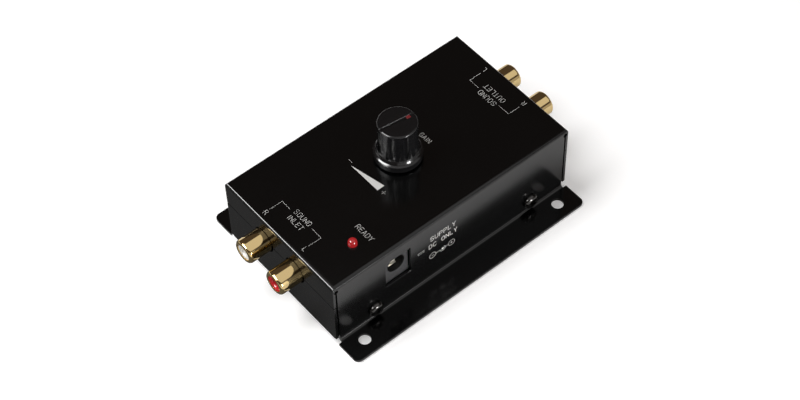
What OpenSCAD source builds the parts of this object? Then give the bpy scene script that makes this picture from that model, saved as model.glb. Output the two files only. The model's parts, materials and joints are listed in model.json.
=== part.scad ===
// Line preamplifier in a folded steel case, with a volume knob, a power lamp,
// a DC inlet and a pair of phono sockets on each end.
// Millimetres. X runs along the case from the input end to the output end, the DC inlet
// is on the -Y side, Z is up and the mounting flanges lie on Z = 0.

/* [Case] */
// Length of the case over its end walls
case_l = 97; // [92:0.5:120]
// Width of the case over its long sides, without the flanges
case_w = 54.6; // [53:0.2:70]
// Height of the case from the flange undersides to its top
case_h = 28.9; // [28.2:0.1:36]
// Thickness of the steel sheet
sheet = 1; // [0.8:0.1:1.3]
// Inner radius of the cover's folds
cover_fold_r = 0.3; // [0.2:0.1:0.8]
// Open slot between an end lip and the end of a long side
corner_slot = 0.5; // [0.3:0.1:0.8]
// Diameter of the relief hole at the top of a corner slot
relief_d = 1.6; // [1.2:0.1:2]
// Gap of the seam between an end lip and the tray
seam_gap = 0.3; // [0.2:0.1:0.6]
// Height of the seam's middle above the flange undersides
seam_up = 18.9; // [18.5:0.1:19.3]

/* [Flanges] */
// Reach of a flange beyond the long side
flange_w = 10.2; // [9:0.2:16]
// Distance of a flange's ends behind the faces of the end walls
flange_short = 0.15; // [0:0.05:0.5]
// Radius of a flange's outer corners
flange_corner_r = 2; // [1:0.5:4]
// Inner radius of the fold between side and flange
flange_fold_r = 1; // [0.5:0.1:1.2]
// Diameter of a mounting hole
mount_hole_d = 4.1; // [3.2:0.1:5]
// Mounting hole's distance from the end of the flange
mount_hole_end = 7.35; // [5:0.05:12]
// Mounting hole's distance from the outer edge of the flange
mount_hole_edge = 5.4; // [4:0.1:6]

/* [Base tray] */
// Height of the tray's underside above the mounting surface
tray_lift = 1; // [0.6:0.1:1.5]
// Inner radius of the tray's folds
tray_fold_r = 0.4; // [0.3:0.1:1.2]
// Clearance between the tray and the long sides
tray_clear = 0.15; // [0.1:0.05:0.3]
// Width of a fold-up tab that takes a case screw
tab_w = 12; // [9:0.5:16]
// Height of a tab above the tray's underside
tab_h = 8; // [7.5:0.2:9]

/* [Case screws] */
// Distance of a case screw from the middle of the case
screw_x = 32.7; // [28:0.1:34]
// Height of a case screw above the tray's underside
screw_up = 4.2; // [4:0.1:4.6]
// Nominal diameter of the screws' shanks
screw_d = 3; // [2.6:0.1:3.2]
// Diameter of a pan head
screw_head_d = 5.6; // [5:0.1:6.2]
// Height of a pan head
screw_head_h = 1.9; // [1.5:0.1:2.2]
// Length of a case screw under its head
case_screw_l = 5; // [4:0.5:6]
// Radial clearance of a shank in its threaded hole
thread_clear = 0.05; // [0.03:0.01:0.08]
// Radial clearance of a screw in a plain hole
screw_hole_clear = 0.2; // [0.1:0.05:0.3]

/* [Circuit board] */
// Thickness of the board
board_t = 1.6; // [1:0.1:2]
// Gap between the board's edges and the sheet around it
board_gap = 1; // [0.6:0.1:1.5]
// Height of a standoff between tray and board
standoff_h = 8.2; // [7.8:0.1:9]
// Width across the flats of a standoff
standoff_af = 5.5; // [5:0.1:6]
// Standoff's distance from the end of the board
standoff_end = 5.5; // [5:0.1:6.5]
// Standoff's distance from the long edge of the board
standoff_edge = 6; // [5:0.1:7]
// Length of a board screw under its head
board_screw_l = 6; // [5:0.5:8]
// Gap between a socket on the board and the inside of the sheet before it
socket_setback = 0.4; // [0.3:0.05:0.8]
// Length of a soldered leg below the board
leg_below = 1.6; // [1:0.1:2.2]
// Clearance of a soldered leg in its hole
leg_clear = 0.1; // [0.08:0.02:0.2]

/* [Phono sockets] */
// Outer diameter of a socket's shell
phono_d = 8.5; // [8:0.1:8.6]
// Reach of a shell beyond the end wall
phono_reach = 8.4; // [7.5:0.1:10]
// Distance between the two sockets of an end
phono_spacing = 15.7; // [14:0.1:19]
// Height of a socket's axis above the board
phono_up = 7.4; // [6.8:0.1:7.6]
// Step from a shell's barrel down to its root in the end wall
phono_step = 0.2; // [0.2:0.05:0.4]
// Distance out of the end wall's face at which a barrel steps down to its root
phono_root_out = 0.1; // [0.05:0.05:0.6]
// Wall of a shell
phono_wall = 0.7; // [0.5:0.05:0.8]
// Radius of the rounded front edge of a shell
phono_lip_r = 1.1; // [0.6:0.05:1.2]
// Inner diameter of the turned-in lip at a shell's mouth
phono_mouth_d = 5.8; // [5.4:0.1:6.2]
// Depth of the insert's face behind the shell's mouth
phono_sink = 0.4; // [0.2:0.05:0.8]
// Diameter of the plug pin that a centre contact takes
phono_pin_d = 3.2; // [3:0.05:3.3]
// Wall of a centre contact
contact_wall = 0.35; // [0.25:0.05:0.4]
// Radial gap between a shell and its hole in the end wall
phono_hole_clear = 0.35; // [0.3:0.05:0.6]
// Distance of a hole's centre below the axis of its socket
phono_hole_drop = 0.15; // [0:0.05:0.2]
// Length of a socket's housing along its axis
phono_house_l = 10.2; // [9.5:0.1:12]
// Width of a socket's housing
phono_house_w = 10; // [9.6:0.1:12]

/* [DC socket] */
// Place of the DC socket along the long side
dc_x = -22.9; // [-24:0.1:-20]
// Gap between the socket's face and the inside of the long side
dc_setback = 0.2; // [0.1:0.05:0.5]
// Width of the socket's face
dc_w = 9.6; // [9:0.1:10]
// Height of the socket's face
dc_h = 11.5; // [11.2:0.1:11.8]
// Depth of the socket's housing
dc_depth = 14; // [13:0.1:15]
// Height of the socket's hole above the board
dc_up = 7; // [6.6:0.1:7.1]
// Diameter of the socket's hole
dc_hole_d = 6.8; // [6.4:0.1:7]
// Diameter of the socket's centre pin
dc_pin_d = 2.1; // [1.9:0.1:2.5]
// Thickness of the sleeve contact
dc_leaf_t = 0.55; // [0.4:0.05:0.6]
// Gap between the socket's face and the sides of its cut-out
dc_gap_side = 0.25; // [0.2:0.05:0.8]
// Gap between the socket's face and the top of its cut-out
dc_gap_top = 0.4; // [0.3:0.05:1.2]

/* [Power lamp] */
// Place of the lamp along the case
led_x = -32.7; // [-34:0.1:-30]
// Place of the lamp across the case
led_y = -17.4; // [-19:0.1:-16]
// Diameter of the lamp's lens
led_d = 3; // [2.8:0.1:3.4]
// Height of the lens above the cover
led_rise = 2.2; // [1.6:0.1:2.6]
// Radial clearance of the lens in its hole
led_clear = 0.12; // [0.08:0.02:0.2]

/* [Volume control] */
// Place of the control along the case
volume_x = 0.3; // [-2:0.1:2]
// Place of the control across the case
volume_y = 0.2; // [-2:0.1:2]
// Diameter of the shaft
shaft_d = 6; // [5.8:0.1:6.2]
// Radial running clearance of the shaft in its bushing
shaft_clear = 0.05; // [0.03:0.01:0.08]
// Outer diameter of the threaded bushing
bushing_d = 7; // [6.9:0.1:7.4]
// Height of the bushing above the cover
bushing_rise = 2.8; // [2.6:0.1:2.9]
// Thickness of the washer
washer_t = 0.4; // [0.3:0.1:0.5]
// Thickness of the nut
nut_t = 2; // [1.8:0.1:2.1]
// Width of the nut across its flats
nut_af = 10; // [9.5:0.1:10.4]
// Outer diameter of the control's can
can_d = 16.4; // [16:0.1:17]
// Depth of the control behind the cover
can_h = 9; // [8.6:0.1:9.4]
// Wall of the can
can_wall = 0.5; // [0.4:0.05:0.6]
// Thickness of the control's front plate
front_plate_t = 1.2; // [1:0.1:1.4]
// Thickness of a resistive wafer
wafer_t = 1.2; // [1:0.1:1.4]
// Gap between the wiper's brushes and the wafers
brush_gap = 0.3; // [0.2:0.05:0.4]

/* [Knob] */
// Diameter of the knob's skirt
knob_skirt_d = 16; // [15.6:0.1:18]
// Diameter of the knob's fluted body
knob_d = 13; // [12.6:0.1:13.6]
// Height of the knob's top above the cover
knob_rise = 16.5; // [15.5:0.1:19]
// Gap between skirt and cover
knob_gap = 0.7; // [0.5:0.05:1]
// Height of the skirt's upright rim
skirt_rim_h = 2.4; // [2:0.1:2.8]
// Height of the bevel above the rim
skirt_bevel_h = 0.9; // [0.8:0.1:1.4]
// Number of flutes round the knob
flutes = 9; // [6:1:14]
// Radius of a flute's cutter
flute_r = 1.15; // [0.8:0.05:1.4]
// Depth of a flute
flute_depth = 0.6; // [0.3:0.05:0.8]
// Thickness of the plain cap above the flutes
knob_cap_h = 1.3; // [1:0.1:2]
// Bevel round the cap's top edge
knob_cap_bevel = 0.5; // [0.3:0.05:0.7]
// Width of the pointer slot across the knob's top
slot_w = 1.2; // [0.9:0.05:1.6]
// Depth of the pointer slot
slot_depth = 0.4; // [0.3:0.05:0.6]
// Length of the red pointer in the slot
pointer_l = 1.4; // [1.2:0.05:2.2]
// Distance of the red pointer's outer end from the knob's axis
pointer_end = 4.75; // [4:0.05:5.2]
// Angle of the pointer from the output end, clockwise from above
pointer_angle = 7.5; // [0:0.5:30]

/* [Hidden] */
$fn = 64;

black_paint = [0.07, 0.07, 0.075];
black_plastic = [0.09, 0.09, 0.1];
gilt = [0.8, 0.64, 0.32];
steel = [0.72, 0.72, 0.7];
tin = [0.78, 0.78, 0.76];
lamp_red = [0.75, 0.06, 0.06];
insert_white = [0.92, 0.92, 0.9];
insert_red = [0.78, 0.07, 0.1];
board_green = [0.1, 0.33, 0.2];

// Overlap that lets a cutter pass cleanly through a face
past = 1;
// Gap of a close fit between pieces that stay together
snug = 0.02;
// Reach of a fold's section into the flat sheet beside it
fold_lap = 0.5;

cover_fold_out = cover_fold_r + sheet;
tray_fold_out = tray_fold_r + sheet;
end_x = case_l / 2;
side_y = case_w / 2;
side_in_y = side_y - sheet;
end_in_x = end_x - sheet;
side_end_x = end_in_x - corner_slot;
top_in_z = case_h - sheet;
slot_top_z = case_h - cover_fold_out - relief_d / 2;

flange_y = side_y + flange_fold_r;
flange_out_y = side_y + flange_w;
flange_end_x = end_x - flange_short;
mount_hole_x = flange_end_x - mount_hole_end;
mount_hole_y = flange_out_y - mount_hole_edge;

tray_top_z = tray_lift + sheet;
tray_half_w = side_in_y - tray_clear;
screw_z = tray_lift + screw_up;

board_z = tray_top_z + standoff_h;
board_top_z = board_z + board_t;
board_half_l = end_in_x - board_gap;
board_half_w = side_in_y - board_gap;
standoff_x = board_half_l - standoff_end;
standoff_y = board_half_w - standoff_edge;
standoff_bore_r = screw_d / 2 + thread_clear;
spigot_step = 0.5;
spigot_r = standoff_af / 2 - spigot_step;
leg_end_z = board_z - leg_below;

phono_z = board_top_z + phono_up;
phono_r = phono_d / 2;
phono_in_r = phono_r - phono_wall;
phono_root_r = phono_r - phono_step;
phono_front = end_x + phono_reach;
phono_lip_t = phono_lip_r + 0.1;
phono_hole_r = phono_r + phono_hole_clear;
phono_hole_z = phono_z - phono_hole_drop;
phono_house_front = end_in_x - socket_setback;
phono_house_back = phono_house_front - phono_house_l;
shell_seat = 3.5;
shell_back = phono_house_back + shell_seat;
shell_lug_in = 1;
shell_lug_x = shell_back + shell_lug_in;
shell_lug_t = 1;
shell_lug_w = 2;
contact_r = phono_pin_d / 2 + contact_wall;
contact_sink = 2.5;
contact_front = phono_front - contact_sink;
contact_bore_l = 12;
contact_tail_t = 0.6;
contact_tail_w = 1.6;
insert_nose_r = phono_mouth_d / 2 - snug;
insert_hole_clear = 0.2;
insert_hole_r = phono_pin_d / 2 + insert_hole_clear;
insert_sink = 0.5;
insert_sink_r = insert_hole_r + insert_sink;
seam_low_z = seam_up - seam_gap / 2;
seam_high_z = seam_up + seam_gap / 2;

dc_front_y = -(side_in_y - dc_setback);
dc_z = board_top_z + dc_up;
dc_hole_l = 10;
dc_face_l = 3.5;
dc_rear_drop = 0.6;
dc_pin_front = 1.2;
dc_leaf_front = 1.4;
dc_leaf_back = 8;
dc_leaf_from = 222;
dc_leaf_to = 322;
dc_blade_t = 0.6;
dc_blade_w = 2.2;
dc_blade_up = 3;
dc_blade_places = [[-2.2, 6], [2.2, 9]];

lens_root = 2.6;
lens_z = top_in_z - lens_root;
lens_collar_h = 1;
lens_collar_r = led_d / 2 + 0.4;
lens_round_z = case_h + led_rise - led_d / 2;
led_lead_r = 0.25;
led_lead_half = 0.65;

shaft_r = shaft_d / 2;
bushing_bore_r = shaft_r + shaft_clear;
bushing_r = bushing_d / 2;
bushing_top_z = case_h + bushing_rise;
can_z = top_in_z - can_h;
front_plate_z = top_in_z - front_plate_t;
can_in_r = can_d / 2 - can_wall;
wafer_r = can_in_r - snug;
low_wafer_z = can_z + can_wall;
high_wafer_z = front_plate_z - wafer_t;
brush_low_z = low_wafer_z + wafer_t + brush_gap;
brush_high_z = high_wafer_z - brush_gap;
brush_h = 0.8;
brush_w = 1.2;
brush_in = 4.6;
brush_out = 6.6;
rotor_r = brush_out + 0.2;
wafer_hole_r = shaft_r + 0.5;
tongue_w = 13;
low_tongue_out = 1.6;
low_tongue_y = can_d / 2 + low_tongue_out;
high_tongue_out = 3.6;
high_tongue_y = can_d / 2 + high_tongue_out;
terminal_pitch = 5;
terminal_t = 0.5;
terminal_w = 1.2;

knob_r = knob_d / 2;
skirt_r = knob_skirt_d / 2;
knob_z = case_h + knob_gap;
knob_top_z = case_h + knob_rise;
skirt_top_z = knob_z + skirt_rim_h + skirt_bevel_h;
skirt_bevel_r = knob_r + 0.3;
knob_hollow_r = nut_af / 2 / cos(30) + 0.5;
knob_hollow_z = bushing_top_z + 0.4;
knob_crown = 4;
shaft_top_z = knob_top_z - knob_crown;
shaft_flat = 1.5;
shaft_flat_up = 1;
shaft_flat_z = knob_hollow_z + shaft_flat_up;
knob_fit = snug;
flute_turn = 360 / flutes;
flute_z = skirt_top_z + 0.4;

// Places of the amplifier's parts on the board, from the middle of the case
op_amp_at = [18, -2];
op_amp_size = [9.6, 6.4, 3.4];
op_amp_pitch = 2.54;
op_amp_lift = 0.5;
filter_edge = 8.3;
filter_y = filter_edge - board_half_w;
filter_at = [[-8, filter_y], [3, filter_y]];
filter_d = 8;
filter_h = 11.5;
coupling_at = [[-28, 8], [-28, -2], [28, 8], [28, -8]];
coupling_d = 5;
coupling_h = 11;
film_at = [[-16, 16], [14, -13]];
film_size = [7.2, 3, 7];
resistor_at = [[-19, 9], [-19, 4], [-19, -1], [18, 17], [18, 12], [18, 7]];
resistor_d = 2.4;
resistor_l = 6.3;
resistor_pitch = 10.2;
diode_at = [-12, -8];
diode_d = 2.7;
diode_l = 5.2;
diode_pitch = 9;
wire_r = 0.3;
wire_hole_r = wire_r + leg_clear;

// A flat shape in Y and Z, drawn out along X
module along_x(l) {
    rotate([90, 0, 90]) linear_extrude(l, center = true) children();
}

// A flat shape in X and Z, drawn out along Y
module along_y(l) {
    rotate([90, 0, 0]) linear_extrude(l, center = true) children();
}

// Copies at both ends and both sides of the case
module four_corners(x, y) {
    for (sx = [-1, 1])
        for (sy = [-1, 1])
            translate([sx * x, sy * y, 0]) children();
}

// Upright outline of a folded box, with its two upper corners rounded
module arch(w, h, r) {
    translate([-w / 2, -past]) square([w, h - r + past]);
    translate([-w / 2 + r, -past]) square([w - 2 * r, h + past]);
    for (s = [-1, 1]) translate([s * (w / 2 - r), h - r]) circle(r);
}

// A quarter of a ring, the section of a fold, in the lower left of its centre
module fold_section(r_in, r_out) {
    intersection() {
        difference() {
            circle(r_out);
            circle(r_in);
        }
        translate([-r_out, -r_out]) square(r_out);
    }
}

// The cover's folded top, sides and lips, before its openings are cut
module cover_shell() {
    difference() {
        intersection() {
            along_x(case_l) arch(case_w, case_h, cover_fold_out);
            along_y(case_w) arch(case_l, case_h, cover_fold_out);
        }
        intersection() {
            along_x(case_l - 2 * sheet) arch(2 * side_in_y, top_in_z, cover_fold_r);
            along_y(case_w - 2 * sheet) arch(2 * end_in_x, top_in_z, cover_fold_r);
        }
        translate([-case_l, -case_w, -2 * past])
            cube([2 * case_l, 2 * case_w, sheet + flange_fold_r + 2 * past]);
        for (s = [-1, 1])
            translate([s > 0 ? side_end_x : -case_l, -case_w, -past])
                cube([case_l - side_end_x, 2 * case_w, seam_high_z + past]);
        four_corners((side_end_x + end_in_x) / 2, side_y - sheet / 2) {
            translate([-corner_slot / 2, -sheet, -past])
                cube([corner_slot, 2 * sheet, slot_top_z + past]);
            translate([0, 0, slot_top_z]) rotate([90, 0, 0])
                cylinder(h = 2 * sheet, d = relief_d, center = true);
        }
    }
}

// Outline of the flange on the +Y side, seen from above
module flange_outline() {
    r = flange_corner_r;
    difference() {
        union() {
            translate([-flange_end_x, flange_y])
                square([2 * flange_end_x, flange_out_y - flange_y - r]);
            translate([-flange_end_x + r, flange_y])
                square([2 * (flange_end_x - r), flange_out_y - flange_y]);
            for (s = [-1, 1]) translate([s * (flange_end_x - r), flange_out_y - r]) circle(r);
        }
        for (s = [-1, 1]) translate([s * mount_hole_x, mount_hole_y]) circle(d = mount_hole_d);
    }
}

// Section of the fold between side and flange, which laps into both
module flange_fold() {
    fold_out = flange_fold_r + sheet;
    fold_section(flange_fold_r, fold_out);
    translate([-fold_out, 0]) square([sheet, fold_lap]);
    translate([0, -fold_out]) square([fold_lap, sheet]);
}

module flange() {
    linear_extrude(sheet) flange_outline();
    along_x(2 * side_end_x)
        translate([flange_y, sheet + flange_fold_r])
            flange_fold();
}

module top_cover() {
    color(black_paint) difference() {
        union() {
            cover_shell();
            flange();
            mirror([0, 1, 0]) flange();
        }
        // Half-round notches for the phono sockets
        for (s = [-1, 1]) translate([0, s * phono_spacing / 2, phono_hole_z])
            rotate([0, 90, 0]) cylinder(h = 2 * case_l, r = phono_hole_r, center = true);
        // Hole for the volume control's bushing
        translate([volume_x, volume_y, top_in_z - past])
            cylinder(h = sheet + 2 * past, r = bushing_r + screw_hole_clear);
        // Hole for the lamp
        translate([led_x, led_y, top_in_z - past])
            cylinder(h = sheet + 2 * past, r = led_d / 2 + led_clear);
        // Cut-out for the DC socket
        translate([dc_x - dc_w / 2 - dc_gap_side, -side_y - past, board_top_z])
            cube([dc_w + 2 * dc_gap_side, sheet + 2 * past, dc_h + dc_gap_top]);
        // Holes for the case screws
        for (s = [-1, 1]) translate([s * screw_x, 0, screw_z]) rotate([90, 0, 0])
            cylinder(h = 2 * case_w, r = screw_d / 2 + screw_hole_clear, center = true);
    }
}

// End wall of the tray, seen along X
module tray_end_outline() {
    fold_z = tray_lift + tray_fold_out;
    difference() {
        translate([-side_y, fold_z]) square([case_w, seam_low_z - fold_z]);
        for (s = [-1, 1]) translate([s * phono_spacing / 2, phono_hole_z]) circle(phono_hole_r);
    }
}

// Fold-up tab on the +Y side of the tray, with its thread
module tray_tab() {
    fold_z = tray_lift + tray_fold_out;
    difference() {
        along_x(tab_w) {
            translate([tray_half_w - tray_fold_out, fold_z]) mirror([1, 0])
                fold_section(tray_fold_r, tray_fold_out);
            translate([tray_half_w - sheet, fold_z])
                square([sheet, tray_lift + tab_h - fold_z]);
        }
        translate([0, tray_half_w, screw_z]) rotate([90, 0, 0])
            cylinder(h = 4 * sheet, r = screw_d / 2 + thread_clear, center = true);
    }
}

module base_tray() {
    floor_half_l = end_x - tray_fold_out;
    color(black_paint) {
        difference() {
            translate([-floor_half_l, -tray_half_w, tray_lift])
                cube([2 * floor_half_l, 2 * tray_half_w, sheet]);
            four_corners(screw_x, tray_half_w)
                cube([tab_w, 2 * tray_fold_out, 4 * tray_top_z], center = true);
            four_corners(standoff_x, standoff_y)
                cylinder(h = tray_top_z + past, r = spigot_r + snug);
        }
        for (s = [-1, 1]) {
            translate([s * (end_x - sheet / 2), 0, 0]) along_x(sheet) tray_end_outline();
            mirror([s > 0 ? 1 : 0, 0, 0]) along_y(2 * tray_half_w)
                translate([-floor_half_l, tray_lift + tray_fold_out])
                    fold_section(tray_fold_r, tray_fold_out);
        }
        for (s = [-1, 1]) translate([s * screw_x, 0, 0]) {
            tray_tab();
            mirror([0, 1, 0]) tray_tab();
        }
    }
}

// Pan-head cross screw standing on Z = 0, with its shank below
module cross_screw(l) {
    crown_r = (pow(screw_head_d / 2, 2) + pow(screw_head_h, 2)) / (2 * screw_head_h);
    recess_w = screw_d / 4;
    difference() {
        union() {
            translate([0, 0, -l]) cylinder(h = l, d = screw_d);
            intersection() {
                cylinder(h = screw_head_h, d = screw_head_d);
                translate([0, 0, screw_head_h - crown_r]) sphere(crown_r);
            }
        }
        for (turn = [0, 90]) rotate(turn)
            translate([-screw_d / 2, -recess_w / 2, screw_head_h / 3])
                cube([screw_d, recess_w, screw_head_h]);
    }
}

module case_screws() {
    color(black_plastic) for (sx = [-1, 1]) for (sy = [-1, 1])
        translate([sx * screw_x, sy * side_y, screw_z]) rotate([-90 * sy, 0, 0])
            cross_screw(case_screw_l);
}

module board_standoffs() {
    color(steel) four_corners(standoff_x, standoff_y) difference() {
        union() {
            translate([0, 0, tray_top_z])
                cylinder(h = standoff_h, d = standoff_af / cos(30), $fn = 6);
            translate([0, 0, tray_lift]) cylinder(h = sheet + past, r = spigot_r);
        }
        translate([0, 0, tray_top_z])
            cylinder(h = standoff_h + past, r = standoff_bore_r);
    }
}

module board_screws() {
    color(steel) four_corners(standoff_x, standoff_y)
        translate([0, 0, board_top_z]) cross_screw(board_screw_l);
}

// A slot through the board for a flat leg of the given size
module leg_slot(at, size) {
    translate([at[0], at[1]]) square([size[0] + 2 * leg_clear, size[1] + 2 * leg_clear], center = true);
}

// Holes of a part with two wires, lying along X
module wire_holes(places, pitch) {
    for (at = places) for (s = [-1, 1])
        translate([at[0] + s * pitch / 2, at[1]]) circle(wire_hole_r);
}

module board_outline() {
    difference() {
        square([2 * board_half_l, 2 * board_half_w], center = true);
        four_corners(standoff_x, standoff_y) circle(screw_d / 2 + screw_hole_clear);
        four_corners(shell_lug_x, phono_spacing / 2) leg_slot([0, 0], [shell_lug_t, shell_lug_w]);
        four_corners(phono_house_back - contact_tail_t / 2, phono_spacing / 2)
            leg_slot([0, 0], [contact_tail_t, contact_tail_w]);
        translate([dc_x, dc_front_y]) {
            for (at = dc_blade_places) leg_slot(at, [dc_blade_t, dc_blade_w]);
            leg_slot([0, dc_depth + dc_blade_t / 2], [dc_blade_w, dc_blade_t]);
        }
        for (s = [-1, 1]) translate([led_x, led_y + s * led_lead_half]) circle(led_lead_r + leg_clear);
        translate([volume_x, volume_y]) for (n = [-1, 0, 1]) {
            leg_slot([n * terminal_pitch, low_tongue_y + terminal_t / 2], [terminal_w, terminal_t]);
            leg_slot([n * terminal_pitch, high_tongue_y + terminal_t / 2], [terminal_w, terminal_t]);
        }
        translate(op_amp_at) for (n = [-1.5 : 1.5]) for (s = [-1, 1])
            leg_slot([n * op_amp_pitch, s * (op_amp_size[1] / 2 + wire_r)], 2 * [wire_r, wire_r]);
        wire_holes(resistor_at, resistor_pitch);
        wire_holes([diode_at], diode_pitch);
    }
}

module circuit_board() {
    color(board_green) translate([0, 0, board_z]) linear_extrude(board_t) board_outline();
}

// Volume control, drawn at the middle of its shaft
module at_volume() {
    translate([volume_x, volume_y, 0]) children();
}

// The knob as it turns, with its pointer along +X of this frame
module at_pointer() {
    at_volume() rotate(-pointer_angle) children();
}

// Half section of the knob: skirt, fluted body and bevelled cap
module knob_section() {
    body_h = knob_top_z - knob_z;
    skirt_h = skirt_top_z - knob_z;
    polygon([
        [0, 0], [skirt_r, 0], [skirt_r, skirt_rim_h], [skirt_bevel_r, skirt_h], [knob_r, skirt_h],
        [knob_r, body_h - knob_cap_bevel], [knob_r - knob_cap_bevel, body_h], [0, body_h]
    ]);
}

// Section of the shaft, round below and with a flat above
module shaft_shape(r, flat_z, top_z, low_z) {
    difference() {
        translate([0, 0, low_z]) cylinder(h = top_z - low_z, r = r);
        translate([r - shaft_flat, -2 * r, flat_z]) cube([4 * r, 4 * r, top_z]);
    }
}

module volume_knob() {
    color(black_plastic) at_pointer() difference() {
        translate([0, 0, knob_z]) rotate_extrude() knob_section();
        for (n = [0 : flutes - 1]) rotate((n + 0.5) * flute_turn)
            translate([knob_r + flute_r - flute_depth, 0, flute_z])
                cylinder(h = knob_top_z - knob_cap_h - flute_z, r = flute_r);
        translate([0, 0, knob_z - past])
            cylinder(h = knob_hollow_z - knob_z + past, r = knob_hollow_r);
        shaft_shape(shaft_r + knob_fit, shaft_flat_z, shaft_top_z, knob_z);
        translate([-knob_r, -slot_w / 2, knob_top_z - slot_depth])
            cube([knob_d, slot_w, slot_depth + past]);
    }
}

module knob_pointer() {
    color(lamp_red) at_pointer()
        translate([pointer_end - pointer_l, -slot_w / 2 + snug, knob_top_z - slot_depth])
            cube([pointer_l, slot_w - 2 * snug, slot_depth / 2]);
}

module pot_shaft() {
    color(steel) at_pointer()
        shaft_shape(shaft_r, shaft_flat_z, shaft_top_z, brush_low_z);
}

module pot_wiper() {
    rotor_z = brush_low_z + brush_h;
    color(black_plastic) at_pointer() difference() {
        union() {
            translate([0, 0, rotor_z]) cylinder(h = brush_high_z - brush_h - rotor_z, r = rotor_r);
            for (z = [brush_low_z, brush_high_z - brush_h])
                translate([brush_in, -brush_w / 2, z])
                    cube([brush_out - brush_in, brush_w, brush_h]);
        }
        translate([0, 0, can_z]) cylinder(h = can_h, r = shaft_r + snug);
    }
}

module pot_bushing() {
    color(steel) at_volume() difference() {
        union() {
            translate([0, 0, front_plate_z]) cylinder(h = front_plate_t, d = can_d);
            translate([0, 0, front_plate_z]) cylinder(h = bushing_top_z - front_plate_z, r = bushing_r);
        }
        translate([0, 0, front_plate_z - past])
            cylinder(h = bushing_top_z - front_plate_z + 2 * past, r = bushing_bore_r);
    }
}

module pot_washer() {
    color(steel) at_volume() translate([0, 0, case_h]) difference() {
        cylinder(h = washer_t, d = nut_af);
        translate([0, 0, -past]) cylinder(h = washer_t + 2 * past, r = bushing_r + screw_hole_clear);
    }
}

module pot_nut() {
    color(steel) at_volume() translate([0, 0, case_h + washer_t]) difference() {
        cylinder(h = nut_t, d = nut_af / cos(30), $fn = 6);
        translate([0, 0, -past]) cylinder(h = nut_t + 2 * past, r = bushing_r + thread_clear);
    }
}

module pot_housing() {
    color(steel) at_volume() difference() {
        translate([0, 0, can_z]) cylinder(h = front_plate_z - can_z, d = can_d);
        translate([0, 0, low_wafer_z]) cylinder(h = can_h, r = can_in_r);
        translate([-tongue_w / 2 - leg_clear, 0, low_wafer_z])
            cube([tongue_w + 2 * leg_clear, can_d, can_h]);
    }
}

// Resistive wafer with the tongue that carries its terminals
module wafer(z, tongue_y) {
    translate([0, 0, z]) linear_extrude(wafer_t) difference() {
        union() {
            circle(wafer_r);
            translate([-tongue_w / 2, 0]) square([tongue_w, tongue_y]);
        }
        circle(wafer_hole_r);
    }
}

module pot_tracks() {
    color([0.35, 0.2, 0.1]) at_volume() {
        wafer(low_wafer_z, low_tongue_y);
        wafer(high_wafer_z, high_tongue_y);
    }
}

module pot_terminals() {
    color(tin) at_volume() for (n = [-1, 0, 1])
        for (place = [[low_tongue_y, low_wafer_z], [high_tongue_y, high_wafer_z]])
            translate([n * terminal_pitch - terminal_w / 2, place[0], leg_end_z])
                cube([terminal_w, terminal_t, place[1] + wafer_t - leg_end_z]);
}

// A phono socket's piece, drawn for the +X end, put at its own place
module at_socket(end, side) {
    translate([0, side * phono_spacing / 2, 0]) rotate(end > 0 ? 0 : 180) children();
}

// A section given as radius and place along X, turned round the socket's axis
module socket_turn() {
    translate([0, 0, phono_z]) rotate([0, 90, 0]) rotate_extrude() children();
}

module socket_shell() {
    lip_in_r = phono_mouth_d / 2;
    root_front = end_x + phono_root_out;
    color(gilt) {
        socket_turn() {
            translate([phono_in_r, shell_back])
                square([phono_root_r - phono_in_r, phono_front - phono_lip_t - shell_back]);
            translate([phono_in_r, root_front])
                square([phono_wall, phono_front - phono_lip_t - root_front]);
            translate([lip_in_r, phono_front - phono_lip_t])
                square([phono_r - lip_in_r, phono_lip_t - phono_lip_r]);
            translate([lip_in_r, phono_front - phono_lip_t])
                square([phono_r - phono_lip_r - lip_in_r, phono_lip_t]);
            translate([phono_r - phono_lip_r, phono_front - phono_lip_r]) intersection() {
                circle(phono_lip_r);
                square(phono_lip_r);
            }
        }
        translate([shell_lug_x - shell_lug_t / 2, -shell_lug_w / 2, leg_end_z])
            cube([shell_lug_t, shell_lug_w, phono_z - (phono_in_r + phono_root_r) / 2 - leg_end_z]);
    }
}

module socket_insert(tint) {
    face = phono_front - phono_sink;
    shoulder = phono_front - phono_lip_t - snug;
    throat = contact_front + snug;
    sink_z = face - (insert_sink_r - insert_hole_r);
    color(tint) socket_turn() difference() {
        union() {
            translate([0, shell_back]) square([phono_in_r - snug, shoulder - shell_back]);
            translate([0, shell_back]) square([insert_nose_r, face - shell_back]);
        }
        translate([0, shell_back - past]) square([contact_r + snug, throat - shell_back + past]);
        translate([0, shell_back]) square([insert_hole_r, face + past - shell_back]);
        polygon([
            [0, sink_z], [insert_hole_r, sink_z], [insert_sink_r, face],
            [insert_sink_r, face + past], [0, face + past]
        ]);
    }
}

module socket_contact() {
    tail_x = phono_house_back - contact_tail_t;
    color(gilt) {
        socket_turn() difference() {
            translate([0, tail_x]) square([contact_r, contact_front - tail_x]);
            translate([0, contact_front - contact_bore_l])
                square([phono_pin_d / 2, contact_bore_l + past]);
        }
        translate([tail_x, -contact_tail_w / 2, leg_end_z])
            cube([contact_tail_t, contact_tail_w, phono_z - leg_end_z]);
    }
}

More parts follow.
